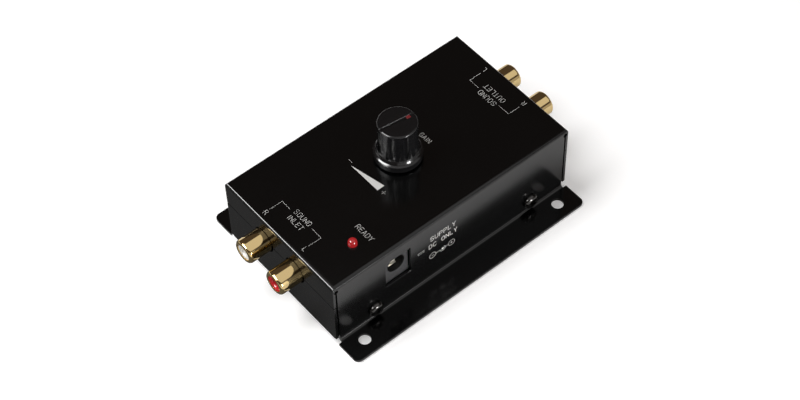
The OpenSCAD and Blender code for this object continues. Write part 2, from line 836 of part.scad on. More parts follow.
module socket_housing() {
    house_top_z = phono_z + phono_house_w / 2;
    color(black_plastic) difference() {
        translate([phono_house_back, -phono_house_w / 2, board_top_z])
            cube([phono_house_l, phono_house_w, house_top_z - board_top_z]);
        translate([shell_back, 0, phono_z]) rotate([0, 90, 0])
            cylinder(h = phono_house_l, r = phono_root_r + snug);
        translate([phono_house_back - past, 0, phono_z]) rotate([0, 90, 0])
            cylinder(h = phono_house_l, r = contact_r + snug);
        translate([shell_lug_x, 0, board_top_z]) linear_extrude(2 * phono_up, center = true)
            leg_slot([0, 0], [shell_lug_t, shell_lug_w]);
    }
}

module input_right_shell() at_socket(-1, 1) socket_shell();
module input_right_insert() at_socket(-1, 1) socket_insert(insert_white);
module input_right_contact() at_socket(-1, 1) socket_contact();
module input_right_housing() at_socket(-1, 1) socket_housing();
module input_left_shell() at_socket(-1, -1) socket_shell();
module input_left_insert() at_socket(-1, -1) socket_insert(insert_red);
module input_left_contact() at_socket(-1, -1) socket_contact();
module input_left_housing() at_socket(-1, -1) socket_housing();
module output_left_shell() at_socket(1, 1) socket_shell();
module output_left_insert() at_socket(1, 1) socket_insert(insert_red);
module output_left_contact() at_socket(1, 1) socket_contact();
module output_left_housing() at_socket(1, 1) socket_housing();
module output_right_shell() at_socket(1, -1) socket_shell();
module output_right_insert() at_socket(1, -1) socket_insert(insert_white);
module output_right_contact() at_socket(1, -1) socket_contact();
module output_right_housing() at_socket(1, -1) socket_housing();

// DC socket, drawn with its face at Y = 0 and its depth along +Y
module at_dc() {
    translate([dc_x, dc_front_y, 0]) children();
}

// A round bar along +Y on the DC socket's axis, between two depths
module dc_bar(r, from, to) {
    translate([0, from, dc_z]) rotate([-90, 0, 0]) cylinder(h = to - from, r = r);
}

module dc_socket_housing() {
    color(black_plastic) at_dc() difference() {
        union() {
            translate([-dc_w / 2, 0, board_top_z]) cube([dc_w, dc_face_l, dc_h]);
            translate([-dc_w / 2, 0, board_top_z]) cube([dc_w, dc_depth, dc_h - dc_rear_drop]);
        }
        dc_bar(dc_hole_d / 2, -past, dc_hole_l);
        dc_bar(dc_pin_d / 2 + snug, 0, dc_depth + past);
        for (at = dc_blade_places) translate([0, 0, board_top_z])
            linear_extrude(2 * dc_blade_up + 2 * leg_clear, center = true)
                leg_slot(at, [dc_blade_t, dc_blade_w]);
    }
}

module dc_socket_pin() {
    color(steel) at_dc() {
        dc_bar(dc_pin_d / 2, dc_pin_front + dc_pin_d / 4, dc_depth + dc_blade_t / 2);
        translate([0, dc_pin_front, dc_z]) rotate([-90, 0, 0])
            cylinder(h = dc_pin_d / 4, r1 = dc_pin_d / 4, r2 = dc_pin_d / 2);
        translate([-dc_blade_w / 2, dc_depth, leg_end_z])
            cube([dc_blade_w, dc_blade_t, dc_z - leg_end_z]);
    }
}

module dc_socket_spring() {
    leaf_r = dc_hole_d / 2 - snug;
    color(tin) at_dc() translate([0, dc_leaf_front, dc_z]) rotate([-90, 0, 0])
        rotate([0, 0, -dc_leaf_to]) rotate_extrude(angle = dc_leaf_to - dc_leaf_from)
            translate([leaf_r - dc_leaf_t, 0]) square([dc_leaf_t, dc_leaf_back - dc_leaf_front]);
}

module dc_socket_terminals() {
    color(tin) at_dc() for (at = dc_blade_places)
        translate([at[0] - dc_blade_t / 2, at[1] - dc_blade_w / 2, leg_end_z])
            cube([dc_blade_t, dc_blade_w, board_top_z + dc_blade_up - leg_end_z]);
}

module power_led() {
    color(lamp_red) translate([led_x, led_y, lens_z]) {
        cylinder(h = lens_round_z - lens_z, d = led_d);
        cylinder(h = lens_collar_h, r = lens_collar_r);
        translate([0, 0, lens_round_z - lens_z]) sphere(d = led_d);
    }
}

module led_leads() {
    color(tin) for (s = [-1, 1]) translate([led_x, led_y + s * led_lead_half, leg_end_z])
        cylinder(h = lens_z - leg_end_z, r = led_lead_r);
}

module op_amp() {
    color(black_plastic) translate([op_amp_at[0], op_amp_at[1], board_top_z + op_amp_lift])
        translate([-op_amp_size[0] / 2, -op_amp_size[1] / 2, 0]) cube(op_amp_size);
}

module op_amp_legs() {
    color(tin) translate([op_amp_at[0], op_amp_at[1], 0])
        for (n = [-1.5 : 1.5]) for (s = [-1, 1])
            translate([n * op_amp_pitch - wire_r, s * (op_amp_size[1] / 2 + wire_r) - wire_r, leg_end_z])
                cube([2 * wire_r, 2 * wire_r, board_top_z + op_amp_lift + op_amp_size[2] / 2 - leg_end_z]);
}

// Round capacitor standing on the board
module can_capacitor(at, d, h) {
    translate([at[0], at[1], board_top_z]) cylinder(h = h, d = d);
}

module filter_capacitors() {
    color([0.1, 0.1, 0.3]) for (at = filter_at) can_capacitor(at, filter_d, filter_h);
}

module coupling_capacitors() {
    color([0.1, 0.1, 0.3]) for (at = coupling_at) can_capacitor(at, coupling_d, coupling_h);
}

module film_capacitors() {
    color([0.6, 0.12, 0.1]) for (at = film_at)
        translate([at[0] - film_size[0] / 2, at[1] - film_size[1] / 2, board_top_z]) cube(film_size);
}

// Round body with a wire from each end down through the board, lying along X
module axial_part(at, d, l, pitch) {
    axis_z = board_top_z + d / 2;
    translate([at[0], at[1], axis_z]) rotate([0, 90, 0]) {
        cylinder(h = l, d = d, center = true);
        cylinder(h = pitch, r = wire_r, center = true);
    }
    for (s = [-1, 1]) translate([at[0] + s * pitch / 2, at[1], leg_end_z]) {
        cylinder(h = axis_z - leg_end_z, r = wire_r);
        translate([0, 0, axis_z - leg_end_z]) sphere(wire_r);
    }
}

module resistors() {
    color([0.75, 0.65, 0.5]) for (at = resistor_at)
        axial_part(at, resistor_d, resistor_l, resistor_pitch);
}

module polarity_diode() {
    color(black_plastic) axial_part(diode_at, diode_d, diode_l, diode_pitch);
}

top_cover();
base_tray();
case_screws();
circuit_board();
board_standoffs();
board_screws();
volume_knob();
knob_pointer();
pot_shaft();
pot_wiper();
pot_bushing();
pot_washer();
pot_nut();
pot_housing();
pot_tracks();
pot_terminals();
input_right_shell();
input_right_insert();
input_right_contact();
input_right_housing();
input_left_shell();
input_left_insert();
input_left_contact();
input_left_housing();
output_left_shell();
output_left_insert();
output_left_contact();
output_left_housing();
output_right_shell();
output_right_insert();
output_right_contact();
output_right_housing();
dc_socket_housing();
dc_socket_pin();
dc_socket_spring();
dc_socket_terminals();
power_led();
led_leads();
op_amp();
op_amp_legs();
filter_capacitors();
coupling_capacitors();
film_capacitors();
resistors();
polarity_diode();
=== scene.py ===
# %% [markdown]
# # Dressing a small line preamplifier
# The real object is a folded steel box, painted black, with a volume knob, a red lamp, a
# power inlet, gilt sockets and white printing. Its solids come ready made, in metres, in a
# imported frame. This lesson models the pieces that show again with soft edges, gives every
# surface a finish, and sets the object on a white floor under studio light.

# %% Load the frame
import json
import math

import bmesh
import bpy
from mathutils import Matrix, Vector


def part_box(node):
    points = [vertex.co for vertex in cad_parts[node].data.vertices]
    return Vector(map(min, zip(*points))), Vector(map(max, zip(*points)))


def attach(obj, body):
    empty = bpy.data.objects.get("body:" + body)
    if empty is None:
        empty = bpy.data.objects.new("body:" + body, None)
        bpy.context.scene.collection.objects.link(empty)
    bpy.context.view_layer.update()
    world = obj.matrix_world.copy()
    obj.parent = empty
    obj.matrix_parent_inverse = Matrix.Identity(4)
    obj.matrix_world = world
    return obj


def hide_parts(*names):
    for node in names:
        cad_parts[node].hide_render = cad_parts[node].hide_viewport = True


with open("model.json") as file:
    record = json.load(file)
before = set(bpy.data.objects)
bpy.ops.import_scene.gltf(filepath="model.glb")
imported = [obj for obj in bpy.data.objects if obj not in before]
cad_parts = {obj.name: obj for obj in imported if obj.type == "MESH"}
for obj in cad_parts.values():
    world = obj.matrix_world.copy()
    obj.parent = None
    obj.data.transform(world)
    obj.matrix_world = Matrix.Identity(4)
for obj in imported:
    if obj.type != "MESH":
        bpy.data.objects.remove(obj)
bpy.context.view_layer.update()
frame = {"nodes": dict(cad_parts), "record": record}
MM = 0.001

# %% [markdown]
# The driving sizes are read from the solids' own boxes, so that each new piece lands on the
# solid it stands for. What a box can't tell, such as the thickness of the sheet or the radius
# of a fold, is written here once, in millimetres.

# %% Sizes of the case
_, cover_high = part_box("top_cover")
tray_low, tray_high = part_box("base_tray")
END_X = cover_high.x
TOP_Z = cover_high.z
FLANGE_Y = cover_high.y
SIDE_Y = tray_high.y
SHEET = 1.0 * MM
COVER_FOLD = 1.3 * MM
FLANGE_FOLD = 1.0 * MM
FLANGE_SHORT = 0.15 * MM
FLANGE_END_X = END_X - FLANGE_SHORT
FLANGE_CORNER = 2.0 * MM
TRAY_FOLD = 1.4 * MM
CORNER_SLOT = 0.5 * MM
SEAM_GAP = 0.3 * MM
SIDE_END_X = END_X - SHEET - CORNER_SLOT
lip_z = tray_high.z + SEAM_GAP
print("case, mm:", [round(2 * s / MM, 2) for s in (END_X, SIDE_Y, FLANGE_Y)], round(TOP_Z / MM, 2))

# %% [markdown]
# The camera comes before the pieces. Its place, lens and tilt were worked out from the
# straight edges of the case, and a long lens keeps those edges almost parallel. Standard
# colour management shows a colour as it is written.

# %% Camera
CAMERA_PLACE = (-0.237594, -0.298247, 0.501670)
CAMERA_TILT = (37.5562, 0.9988, -39.8736)
CAMERA_LENS, SENSOR_W = 85.976, 36
scene = bpy.context.scene
scene.view_settings.view_transform = "Standard"
bpy.ops.object.select_all(action="DESELECT")
bpy.ops.object.camera_add(location=CAMERA_PLACE, rotation=[math.radians(a) for a in CAMERA_TILT])
camera = bpy.context.object
camera.data.lens = CAMERA_LENS
camera.data.sensor_width = SENSOR_W
scene.camera = camera
print("camera at", [round(c, 3) for c in camera.location], "with a lens of", round(camera.data.lens, 1))

# %% [markdown]
# ## Tools of the bench
# The pieces are modelled as by hand: a primitive is added, its faces or edges are picked by
# their place, and an operator shapes them. These helpers take the hand's part. Nothing stays
# selected between them, because an operator acts on all that is selected.

# %% Selecting and adding
def deselect():
    """Leaves edit mode and selects nothing."""
    if bpy.context.mode != "OBJECT":
        bpy.ops.object.mode_set(mode="OBJECT")
    bpy.ops.object.select_all(action="DESELECT")


def only(piece):
    """Makes a piece the one that operators act on."""
    deselect()
    piece.select_set(True)
    bpy.context.view_layer.objects.active = piece
    return piece


def named(name):
    """Names the primitive just added and keeps its place in its mesh."""
    piece = bpy.context.object
    piece.name = name
    piece.data.name = name
    bpy.ops.object.transform_apply(location=True, rotation=True, scale=True)
    return piece


def block(name, low, high):
    """A box between two corners."""
    deselect()
    low, high = Vector(low), Vector(high)
    bpy.ops.mesh.primitive_cube_add(size=1, location=(low + high) / 2)
    bpy.context.object.scale = high - low
    return named(name)


def rod(name, start, end, radius, sides=64):
    """A cylinder between two points."""
    deselect()
    start, end = Vector(start), Vector(end)
    turn = (end - start).to_track_quat("Z", "Y").to_euler()
    bpy.ops.mesh.primitive_cylinder_add(
        vertices=sides, radius=radius, depth=(end - start).length,
        location=(start + end) / 2, rotation=turn)
    return named(name)


MODES = {"verts": "VERT", "edges": "EDGE", "faces": "FACE"}


def pick(piece, kind, test):
    """In edit mode, selects the verts, edges or faces that pass a test."""
    only(piece)
    bpy.ops.object.mode_set(mode="EDIT")
    bpy.ops.mesh.select_mode(type=MODES[kind])
    bpy.ops.mesh.select_all(action="DESELECT")
    cage = bmesh.from_edit_mesh(piece.data)
    chosen = [part for part in getattr(cage, kind) if test(part)]
    for part in chosen:
        part.select_set(True)
    cage.select_flush_mode()
    bmesh.update_edit_mesh(piece.data)
    return len(chosen)


def spots(part):
    """The corners of an edge or a face."""
    return [vert.co for vert in part.verts]


def look_out(piece, way):
    """Makes the faces of an open skin agree; its highest face looks up, or its lowest down."""
    only(piece)
    bpy.ops.object.mode_set(mode="EDIT")
    bpy.ops.mesh.select_all(action="SELECT")
    bpy.ops.mesh.normals_make_consistent(inside=False)
    faces = bmesh.from_edit_mesh(piece.data).faces
    if max(faces, key=lambda f: way * f.calc_center_median().z).normal.z * way < 0:
        bpy.ops.mesh.flip_normals()


# Places agree within NEAR. A face looks along an axis that takes FACING of its normal.
NEAR = 0.01 * MM
FACING = 0.5


def level(part, axis, value):
    """True if an edge or a face lies at one value of an axis."""
    return all(abs(spot[axis] - value) < NEAR for spot in spots(part))


def away(part, axis, value):
    """True if it lies that far out along an axis, on either side."""
    return all(abs(abs(spot[axis]) - value) < NEAR for spot in spots(part))


print("helpers for selecting and adding are ready")

# %% Modifiers, cutting and soft edges
def finish_with(piece, kind, **settings):
    """Adds a modifier and applies it."""
    only(piece)
    modifier = piece.modifiers.new(kind.lower(), kind)
    for key, value in settings.items():
        setattr(modifier, key, value)
    bpy.ops.object.modifier_apply(modifier=modifier.name)


def joined(name, parts):
    """Several objects made into one."""
    deselect()
    for part in parts:
        part.select_set(True)
    bpy.context.view_layer.objects.active = parts[0]
    if len(parts) > 1:
        bpy.ops.object.join()
    parts[0].name = name
    parts[0].data.name = name
    return parts[0]


def cut(piece, cutters):
    """Takes the cutters away from a piece."""
    tool = joined("cutter", cutters)
    finish_with(piece, "BOOLEAN", operation="DIFFERENCE", object=tool, solver="EXACT", use_self=True)
    bpy.data.objects.remove(tool)


EDGE_SEGMENTS = 2
EDGE_MERGE = 0.002 * MM
SMOOTH_ANGLE = 35


def soften(piece, width=0, angle=40):
    """Rounds edges sharper than an angle, where a width is given, and shades the flats flat."""
    only(piece)
    bpy.ops.object.mode_set(mode="EDIT")
    bpy.ops.mesh.select_all(action="SELECT")
    bpy.ops.mesh.remove_doubles(threshold=EDGE_MERGE)
    bpy.ops.object.mode_set(mode="OBJECT")
    if width:
        finish_with(piece, "BEVEL", width=width, segments=EDGE_SEGMENTS, limit_method="ANGLE",
                    angle_limit=math.radians(angle), use_clamp_overlap=False)
    only(piece)
    bpy.ops.object.shade_smooth_by_angle(angle=math.radians(SMOOTH_ANGLE))
    finish_with(piece, "WEIGHTED_NORMAL", keep_sharp=True)


def settle(piece, body, slot, material, *nodes):
    """Gives a finished piece its body and its material, and hides the solids it stands for. The slot is
    not used.
    """
    piece.data.materials.clear()
    piece.data.materials.append(material)
    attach(piece, body)
    if nodes:
        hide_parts(*nodes)
    print(piece.name, "has", len(piece.data.polygons), "faces")


print("helpers for modifiers are ready")

# %% [markdown]
# Round pieces are turned on a lathe: half of the section is drawn as a chain of points, a
# radius and a height each, and spin carries it round. Doubles are merged where the turn
# closes, and the normals are then made to point outwards.

# %% The lathe
SPIN_MERGE = 0.001 * MM


def arc(centre_r, centre_z, radius, first, last, steps=8):
    """Points of a rounded corner, as radius and height, from one angle to another."""
    angles = [math.radians(first + (last - first) * n / steps) for n in range(steps + 1)]
    return [(centre_r + radius * math.cos(a), centre_z + radius * math.sin(a)) for a in angles]


def turned(name, outline, sides=96):
    """A solid of revolution round Z from its half section."""
    deselect()
    bpy.ops.mesh.primitive_plane_add(size=MM)
    piece = bpy.context.object
    bpy.ops.object.mode_set(mode="EDIT")
    bpy.ops.mesh.select_mode(type="VERT")
    bpy.ops.mesh.select_all(action="SELECT")
    bpy.ops.mesh.merge(type="CENTER")
    bpy.ops.transform.translate(value=(outline[0][0], 0, outline[0][1]))
    for (r0, z0), (r1, z1) in zip(outline, outline[1:]):
        bpy.ops.mesh.extrude_vertices_move(TRANSFORM_OT_translate={"value": (r1 - r0, 0, z1 - z0)})
    bpy.ops.mesh.select_all(action="SELECT")
    bpy.ops.mesh.spin(steps=sides, angle=2 * math.pi, center=(0, 0, 0), axis=(0, 0, 1))
    bpy.ops.mesh.select_all(action="SELECT")
    bpy.ops.mesh.remove_doubles(threshold=SPIN_MERGE)
    bpy.ops.mesh.normals_make_consistent(inside=False)
    bpy.ops.object.mode_set(mode="OBJECT")
    return named(name)


def moved(piece, matrix):
    """Puts a piece at its place, in its mesh."""
    piece.matrix_world = matrix
    only(piece)
    bpy.ops.object.transform_apply(location=True, rotation=True, scale=True)
    return piece


def copied(piece, name):
    """A copy with its own mesh."""
    only(piece)
    bpy.ops.object.duplicate(linked=False)
    copy = bpy.context.object
    copy.name = name
    copy.data.name = name
    return copy


print("the lathe is ready")

# %% [markdown]
# ## Finishes
# An effect that many finishes share is a node group, built once. This one puts out a fine
# grain for bump, a slow drift for roughness and a sparse mask of dust specks, all on the
# object's own coordinates, so that the grain has one real size on every piece.

# %% Shared surface group
DUST_SCALE, DUST_FROM, DUST_FULL = 2600.0, 0.71, 0.78
DRIFT_FROM, DRIFT_FULL = 0.3, 0.7
GRAIN_DETAIL, DRIFT_DETAIL, DUST_DETAIL = 3.0, 4.0, 1.0


def link_in(tree, source, target):
    """Leads an output of one node to an input of another."""
    tree.links.new(source, target)


def surface_group():
    """Fine grain, slow drift and dust, as a group with named sockets."""
    tree = bpy.data.node_groups.new("surface_detail", "ShaderNodeTree")
    for name, value in (("Grain Scale", 900.0), ("Drift Scale", 45.0), ("Drift Low", 0.2),
                        ("Drift High", 0.3), ("Dust Amount", 0.2)):
        socket = tree.interface.new_socket(name, in_out="INPUT", socket_type="NodeSocketFloat")
        socket.default_value = value
    for name in ("Grain", "Roughness", "Dust"):
        tree.interface.new_socket(name, in_out="OUTPUT", socket_type="NodeSocketFloat")
    add = tree.nodes.new
    inside, outside = add("NodeGroupInput"), add("NodeGroupOutput")
    place = add("ShaderNodeTexCoord")
    grain, drift, dust = (add("ShaderNodeTexNoise") for _ in range(3))
    grain.inputs["Detail"].default_value = GRAIN_DETAIL
    drift.inputs["Detail"].default_value = DRIFT_DETAIL
    dust.inputs["Scale"].default_value = DUST_SCALE
    dust.inputs["Detail"].default_value = DUST_DETAIL
    spread, sparse = add("ShaderNodeMapRange"), add("ShaderNodeMapRange")
    sparse.inputs["From Min"].default_value = DUST_FROM
    sparse.inputs["From Max"].default_value = DUST_FULL
    spread.inputs["From Min"].default_value = DRIFT_FROM
    spread.inputs["From Max"].default_value = DRIFT_FULL
    for noise in (grain, drift, dust):
        link_in(tree, place.outputs["Object"], noise.inputs["Vector"])
    link_in(tree, inside.outputs["Grain Scale"], grain.inputs["Scale"])
    link_in(tree, inside.outputs["Drift Scale"], drift.inputs["Scale"])
    link_in(tree, drift.outputs["Fac"], spread.inputs["Value"])
    link_in(tree, inside.outputs["Drift Low"], spread.inputs["To Min"])
    link_in(tree, inside.outputs["Drift High"], spread.inputs["To Max"])
    link_in(tree, dust.outputs["Fac"], sparse.inputs["Value"])
    link_in(tree, inside.outputs["Dust Amount"], sparse.inputs["To Max"])
    link_in(tree, grain.outputs["Fac"], outside.inputs["Grain"])
    link_in(tree, spread.outputs["Result"], outside.inputs["Roughness"])
    link_in(tree, sparse.outputs["Result"], outside.inputs["Dust"])
    return tree


SURFACE = surface_group()
print("group:", SURFACE.name, [item.name for item in SURFACE.interface.items_tree])

# %% [markdown]
# Each finish is a Principled shader with the shared group behind it: the base colour takes a
# little dust, the roughness drifts, and the grain feeds a bump of two hundredths of a
# millimetre. What is the same all over the surface is set on the shader's own socket. Faces
# that a piece marks in an attribute can be paler, in specks that follow the grain: painted
# light, used on the front of the power inlet.

# %% One finish
DUST_COLOUR = (0.35, 0.34, 0.32, 1)
# Faces marked in this attribute take paler specks: painted light on the front of the inlet.
LIT_SPECKLE_MASK = "lit_speckle"
DRIFT_SCALE, GRAIN_DEPTH = 45.0, 0.02 * MM
FINISHES = {}


def finish(name, colour, rough, grain=900.0, bump=0.05, dust=0.1, lit_speckle=None, **sockets):
    """A material from a colour, a range of roughness, a grain and dust; marked faces can be paler, as
    painted light.
    """
    material = bpy.data.materials.new(name + "_finish")
    FINISHES[name] = material
    material.use_nodes = True
    tree = material.node_tree
    shader = tree.nodes["Principled BSDF"]
    detail = tree.nodes.new("ShaderNodeGroup")
    detail.node_tree = SURFACE
    detail.inputs["Grain Scale"].default_value = grain
    detail.inputs["Drift Scale"].default_value = DRIFT_SCALE
    detail.inputs["Drift Low"].default_value = rough[0]
    detail.inputs["Drift High"].default_value = rough[1]
    detail.inputs["Dust Amount"].default_value = dust
    mix = tree.nodes.new("ShaderNodeMix")
    mix.data_type = "RGBA"
    mix.inputs["A"].default_value = (*colour, 1)
    mix.inputs["B"].default_value = DUST_COLOUR
    relief = tree.nodes.new("ShaderNodeBump")
    relief.inputs["Strength"].default_value = bump
    relief.inputs["Distance"].default_value = GRAIN_DEPTH
    link_in(tree, detail.outputs["Dust"], mix.inputs["Factor"])
    link_in(tree, mix.outputs["Result"], shader.inputs["Base Color"])
    # Marked faces mix towards the paler colour in grain specks; this is painted light.
    if lit_speckle:
        marked = tree.nodes.new("ShaderNodeAttribute")
        marked.attribute_name = LIT_SPECKLE_MASK
        speckle = tree.nodes.new("ShaderNodeMath")
        speckle.operation = "MULTIPLY"
        over = tree.nodes.new("ShaderNodeMix")
        over.data_type = "RGBA"
        over.inputs["B"].default_value = (*lit_speckle, 1)
        link_in(tree, marked.outputs["Fac"], speckle.inputs[0])
        link_in(tree, detail.outputs["Grain"], speckle.inputs[1])
        link_in(tree, speckle.outputs[0], over.inputs["Factor"])
        link_in(tree, mix.outputs["Result"], over.inputs["A"])
        link_in(tree, over.outputs["Result"], shader.inputs["Base Color"])
    link_in(tree, detail.outputs["Roughness"], shader.inputs["Roughness"])
    link_in(tree, detail.outputs["Grain"], relief.inputs["Height"])
    link_in(tree, relief.outputs["Normal"], shader.inputs["Normal"])
    for key, value in sockets.items():
        shader.inputs[key.replace("_", " ").title().replace("Ior", "IOR")].default_value = value
    return material


case_paint = finish("case_paint", (0.0006, 0.0007, 0.0008), (0.16, 0.19),
                    grain=620, bump=0.01, dust=0.01)
knob_plastic = finish("knob_plastic", (0.005, 0.005, 0.0055), (0.13, 0.18),
                      grain=2400, bump=0.006, dust=0.03)
gilt = finish("gilt", (0.74, 0.56, 0.27), (0.05, 0.08),
              grain=1500, bump=0.004, dust=0.02, metallic=1.0)
print("finishes:", [m.name for m in (case_paint, knob_plastic, gilt)])

# %% [markdown]
# The moulded plastics, the lamp, the black screws and the printing inks follow. The inks are
# a little rough, as screen printing is. The one on the long side is paler, because less light
# falls there. The lamp glows from inside its red lens.

# %% More finishes
finish("insert_white", (0.8, 0.79, 0.75), (0.22, 0.3), grain=1800, dust=0.05)
finish("insert_red", (0.55, 0.012, 0.02), (0.16, 0.24), grain=1800, dust=0.05)
# The plastic is nearly black, so the inlet's hole reads as painted shade; its marked front takes paler
# specks, a painted light.
moulded_plastic = finish("moulded_plastic", (0.008, 0.008, 0.0085), (0.38, 0.5),
                         grain=1900, bump=0.3, lit_speckle=(0.06, 0.06, 0.063))
pointer_red = finish("pointer_red", (0.15, 0.004, 0.006), (0.35, 0.5), grain=3000, bump=0.2)
black_steel = finish("black_steel", (0.07, 0.068, 0.066), (0.12, 0.17),
                     grain=2500, bump=0.03, metallic=1.0)
lamp_red = finish("lamp_red", (0.12, 0.004, 0.005), (0.03, 0.05),
                  grain=1200, bump=0.01, dust=0.02,
                  emission_color=(1, 0.04, 0.045, 1), emission_strength=0.26, ior=1.55)
print_ink = finish("print_ink", (0.56, 0.56, 0.545), (0.45, 0.6), grain=4200, bump=0.25, dust=0.1)
side_ink = finish("side_ink", (0.84, 0.84, 0.82), (0.45, 0.6), grain=4200, bump=0.25, dust=0.1)
print("finishes:", len(FINISHES))

# %% [markdown]
# The pieces inside keep their solids as they are. Each solid takes the finish of its slot in
# the record, and the dressed pieces later take their place where they show.

# %% Finishes of the inner pieces
finish("plated_steel", (0.62, 0.62, 0.6), (0.25, 0.4), grain=2000, metallic=1.0)
tinned_brass = finish("tinned_brass", (0.72, 0.69, 0.6), (0.2, 0.35), grain=2600, metallic=1.0)
finish("circuit_laminate", (0.03, 0.16, 0.07), (0.3, 0.45), grain=2200, bump=0.2)
finish("phenolic", (0.16, 0.07, 0.03), (0.5, 0.65), grain=1600, bump=0.3)
finish("capacitor_sleeve", (0.012, 0.016, 0.06), (0.25, 0.4), grain=1400)
finish("film_coat", (0.35, 0.03, 0.02), (0.25, 0.4), grain=1400)
finish("resistor_coat", (0.5, 0.36, 0.2), (0.35, 0.5), grain=1800)
slot_of = {entry["node"]: entry["material_slot"] for entry in frame["record"]["subparts"]}
for node, solid in frame["nodes"].items():
    solid.data.materials.clear()
    solid.data.materials.append(FINISHES[slot_of[node]])
print("solids with a finish:", len(slot_of))

# %% [markdown]
# ## The cover
# On the real unit one sheet of steel is folded into the top, the long sides with their
# flanges, and two short lips at the ends. Here the outer skin of that sheet is a box without
# a floor; the flanges are extruded from its long edges, the folds are bevels, and Solidify
# gives it the thickness of the sheet, inwards.

# %% Folded skin of the cover
cover = block("cover", (-END_X, -SIDE_Y, SHEET), (END_X, SIDE_Y, TOP_Z))
pick(cover, "faces", lambda face: face.normal.z < -FACING)
bpy.ops.mesh.delete(type="FACE")
for side in (-1, 1):
    pick(cover, "edges", lambda e: level(e, 2, SHEET) and level(e, 1, side * SIDE_Y))
    reach = {"value": (0, side * (FLANGE_Y - SIDE_Y), 0)}
    bpy.ops.mesh.extrude_edges_move(TRANSFORM_OT_translate=reach)
for end in (-1, 1):
    pick(cover, "faces", lambda face: level(face, 2, SHEET))
    bpy.ops.mesh.bisect(plane_co=(end * FLANGE_END_X, 0, 0), plane_no=(end, 0, 0))
pick(cover, "faces", lambda face: (level(face, 2, SHEET)
                                   and abs(face.calc_center_median().x) > FLANGE_END_X))
bpy.ops.mesh.delete(type="FACE")
pick(cover, "faces", lambda face: abs(face.normal.x) > FACING)
bpy.ops.mesh.bisect(plane_co=(0, 0, lip_z), plane_no=(0, 0, 1))
pick(cover, "faces", lambda face: abs(face.normal.x) > FACING and face.calc_center_median().z < lip_z)
bpy.ops.mesh.delete(type="FACE")
look_out(cover, 1)
pick(cover, "edges", lambda e: level(e, 2, TOP_Z))
bpy.ops.mesh.bevel(offset=COVER_FOLD, segments=8, profile=0.5, affect="EDGES")
pick(cover, "edges", lambda e: (level(e, 2, SHEET) and away(e, 1, SIDE_Y)
                                and len(e.link_faces) == 2))
bpy.ops.mesh.bevel(offset=FLANGE_FOLD, segments=5, profile=0.5, affect="EDGES")
pick(cover, "verts", lambda v: abs(abs(v.co.y) - FLANGE_Y) < NEAR)
bpy.ops.mesh.bevel(offset=FLANGE_CORNER, segments=8, profile=0.5, affect="VERTICES")
deselect()
finish_with(cover, "SOLIDIFY", thickness=SHEET, offset=-1, use_even_offset=True,
            use_quality_normals=True)
print("skin of the cover:", len(cover.data.polygons), "faces")

# %% [markdown]
# The openings are cut in one go. The boxes take away what the lips don't cover, the corner
# slots and the notches that free the folds; the rods drill the relief holes, the mounting
# holes, the screw holes and the half-round notches of the sockets. Where they go is read from
# the pieces that they hold.

# %% Places of the openings
PAST = 2 * MM
RELIEF_R = 0.8 * MM
SOCKET_HOLE_R = 4.6 * MM
SOCKET_HOLE_DROP = 0.15 * MM
SCREW_HEAD_R = 2.8 * MM
SCREW_HOLE_R = 1.7 * MM
relief_z = TOP_Z - COVER_FOLD - RELIEF_R
slot_x = SIDE_END_X + CORNER_SLOT / 2
screws_low, screws_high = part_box("case_screws")
screw_x = screws_high.x - SCREW_HEAD_R
screw_z = (screws_low.z + screws_high.z) / 2
mounting = next(m for m in frame["record"]["mounts"] if m["kind"] == "bolt_pattern")["dims"]
hole_x, hole_y = mounting["spacing_x_mm"] * MM / 2, mounting["spacing_y_mm"] * MM / 2
hole_r = mounting["hole_r_mm"] * MM


def middle(node):
    """The middle of a solid's box."""
    low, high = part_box(node)
    return (low + high) / 2


socket_places = {end + "_" + side: middle(end + "_" + side + "_insert")
                 for end in ("input", "output") for side in ("left", "right")}
socket_z = socket_places["input_left"].z
socket_y = abs(socket_places["input_left"].y)
hole_z = socket_z - SOCKET_HOLE_DROP
knob_axis = middle("volume_knob")
lamp_axis = middle("power_led")
dc_low, dc_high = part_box("dc_socket_housing")
print("openings for", len(socket_places), "sockets, the inlet, the knob, the lamp and the screws")

# %% Openings of the cover
DC_GAP_SIDE = 0.25 * MM
DC_GAP_TOP = 0.4 * MM
BUSHING_HOLE_R = 3.7 * MM
LAMP_HOLE_R = 1.62 * MM
WALL_DEPTH = 1.5 * SHEET
THROUGH = Vector((0, 0, PAST))


def socket_drills():
    """Rods through both ends of the case, at the places of the sockets."""
    reach = END_X + PAST
    return [rod("socket", (-reach, y, hole_z), (reach, y, hole_z), SOCKET_HOLE_R)
            for y in (-socket_y, socket_y)]


cutters = []
for end in (-1, 1):
    far = sorted((end * SIDE_END_X, end * (END_X + PAST)))
    notch_y = SIDE_Y + FLANGE_FOLD
    cutters.append(block("lip", (far[0], -notch_y, -PAST), (far[1], notch_y, lip_z)))
    for side in (-1, 1):
        wall = sorted((side * (SIDE_Y - WALL_DEPTH), side * (SIDE_Y + PAST)))
        slot = sorted((end * SIDE_END_X, end * (SIDE_END_X + CORNER_SLOT)))
        cutters.append(block("slot", (slot[0], wall[0], lip_z - PAST), (slot[1], wall[1], relief_z)))
        inner, outer = (Vector((end * slot_x, y, relief_z)) for y in wall)
        cutters.append(rod("relief", inner, outer, RELIEF_R, sides=24))
        at = Vector((end * hole_x, side * hole_y, 0))
        cutters.append(rod("mount", at - THROUGH, at + THROUGH, hole_r))
        inner, outer = (Vector((end * screw_x, y, screw_z)) for y in wall)
        cutters.append(rod("screw", inner, outer, SCREW_HOLE_R, sides=48))
cutters += socket_drills()
for axis, radius in ((knob_axis, BUSHING_HOLE_R), (lamp_axis, LAMP_HOLE_R)):
    cutters.append(rod("top", (axis.x, axis.y, TOP_Z - PAST), (axis.x, axis.y, TOP_Z + PAST), radius))
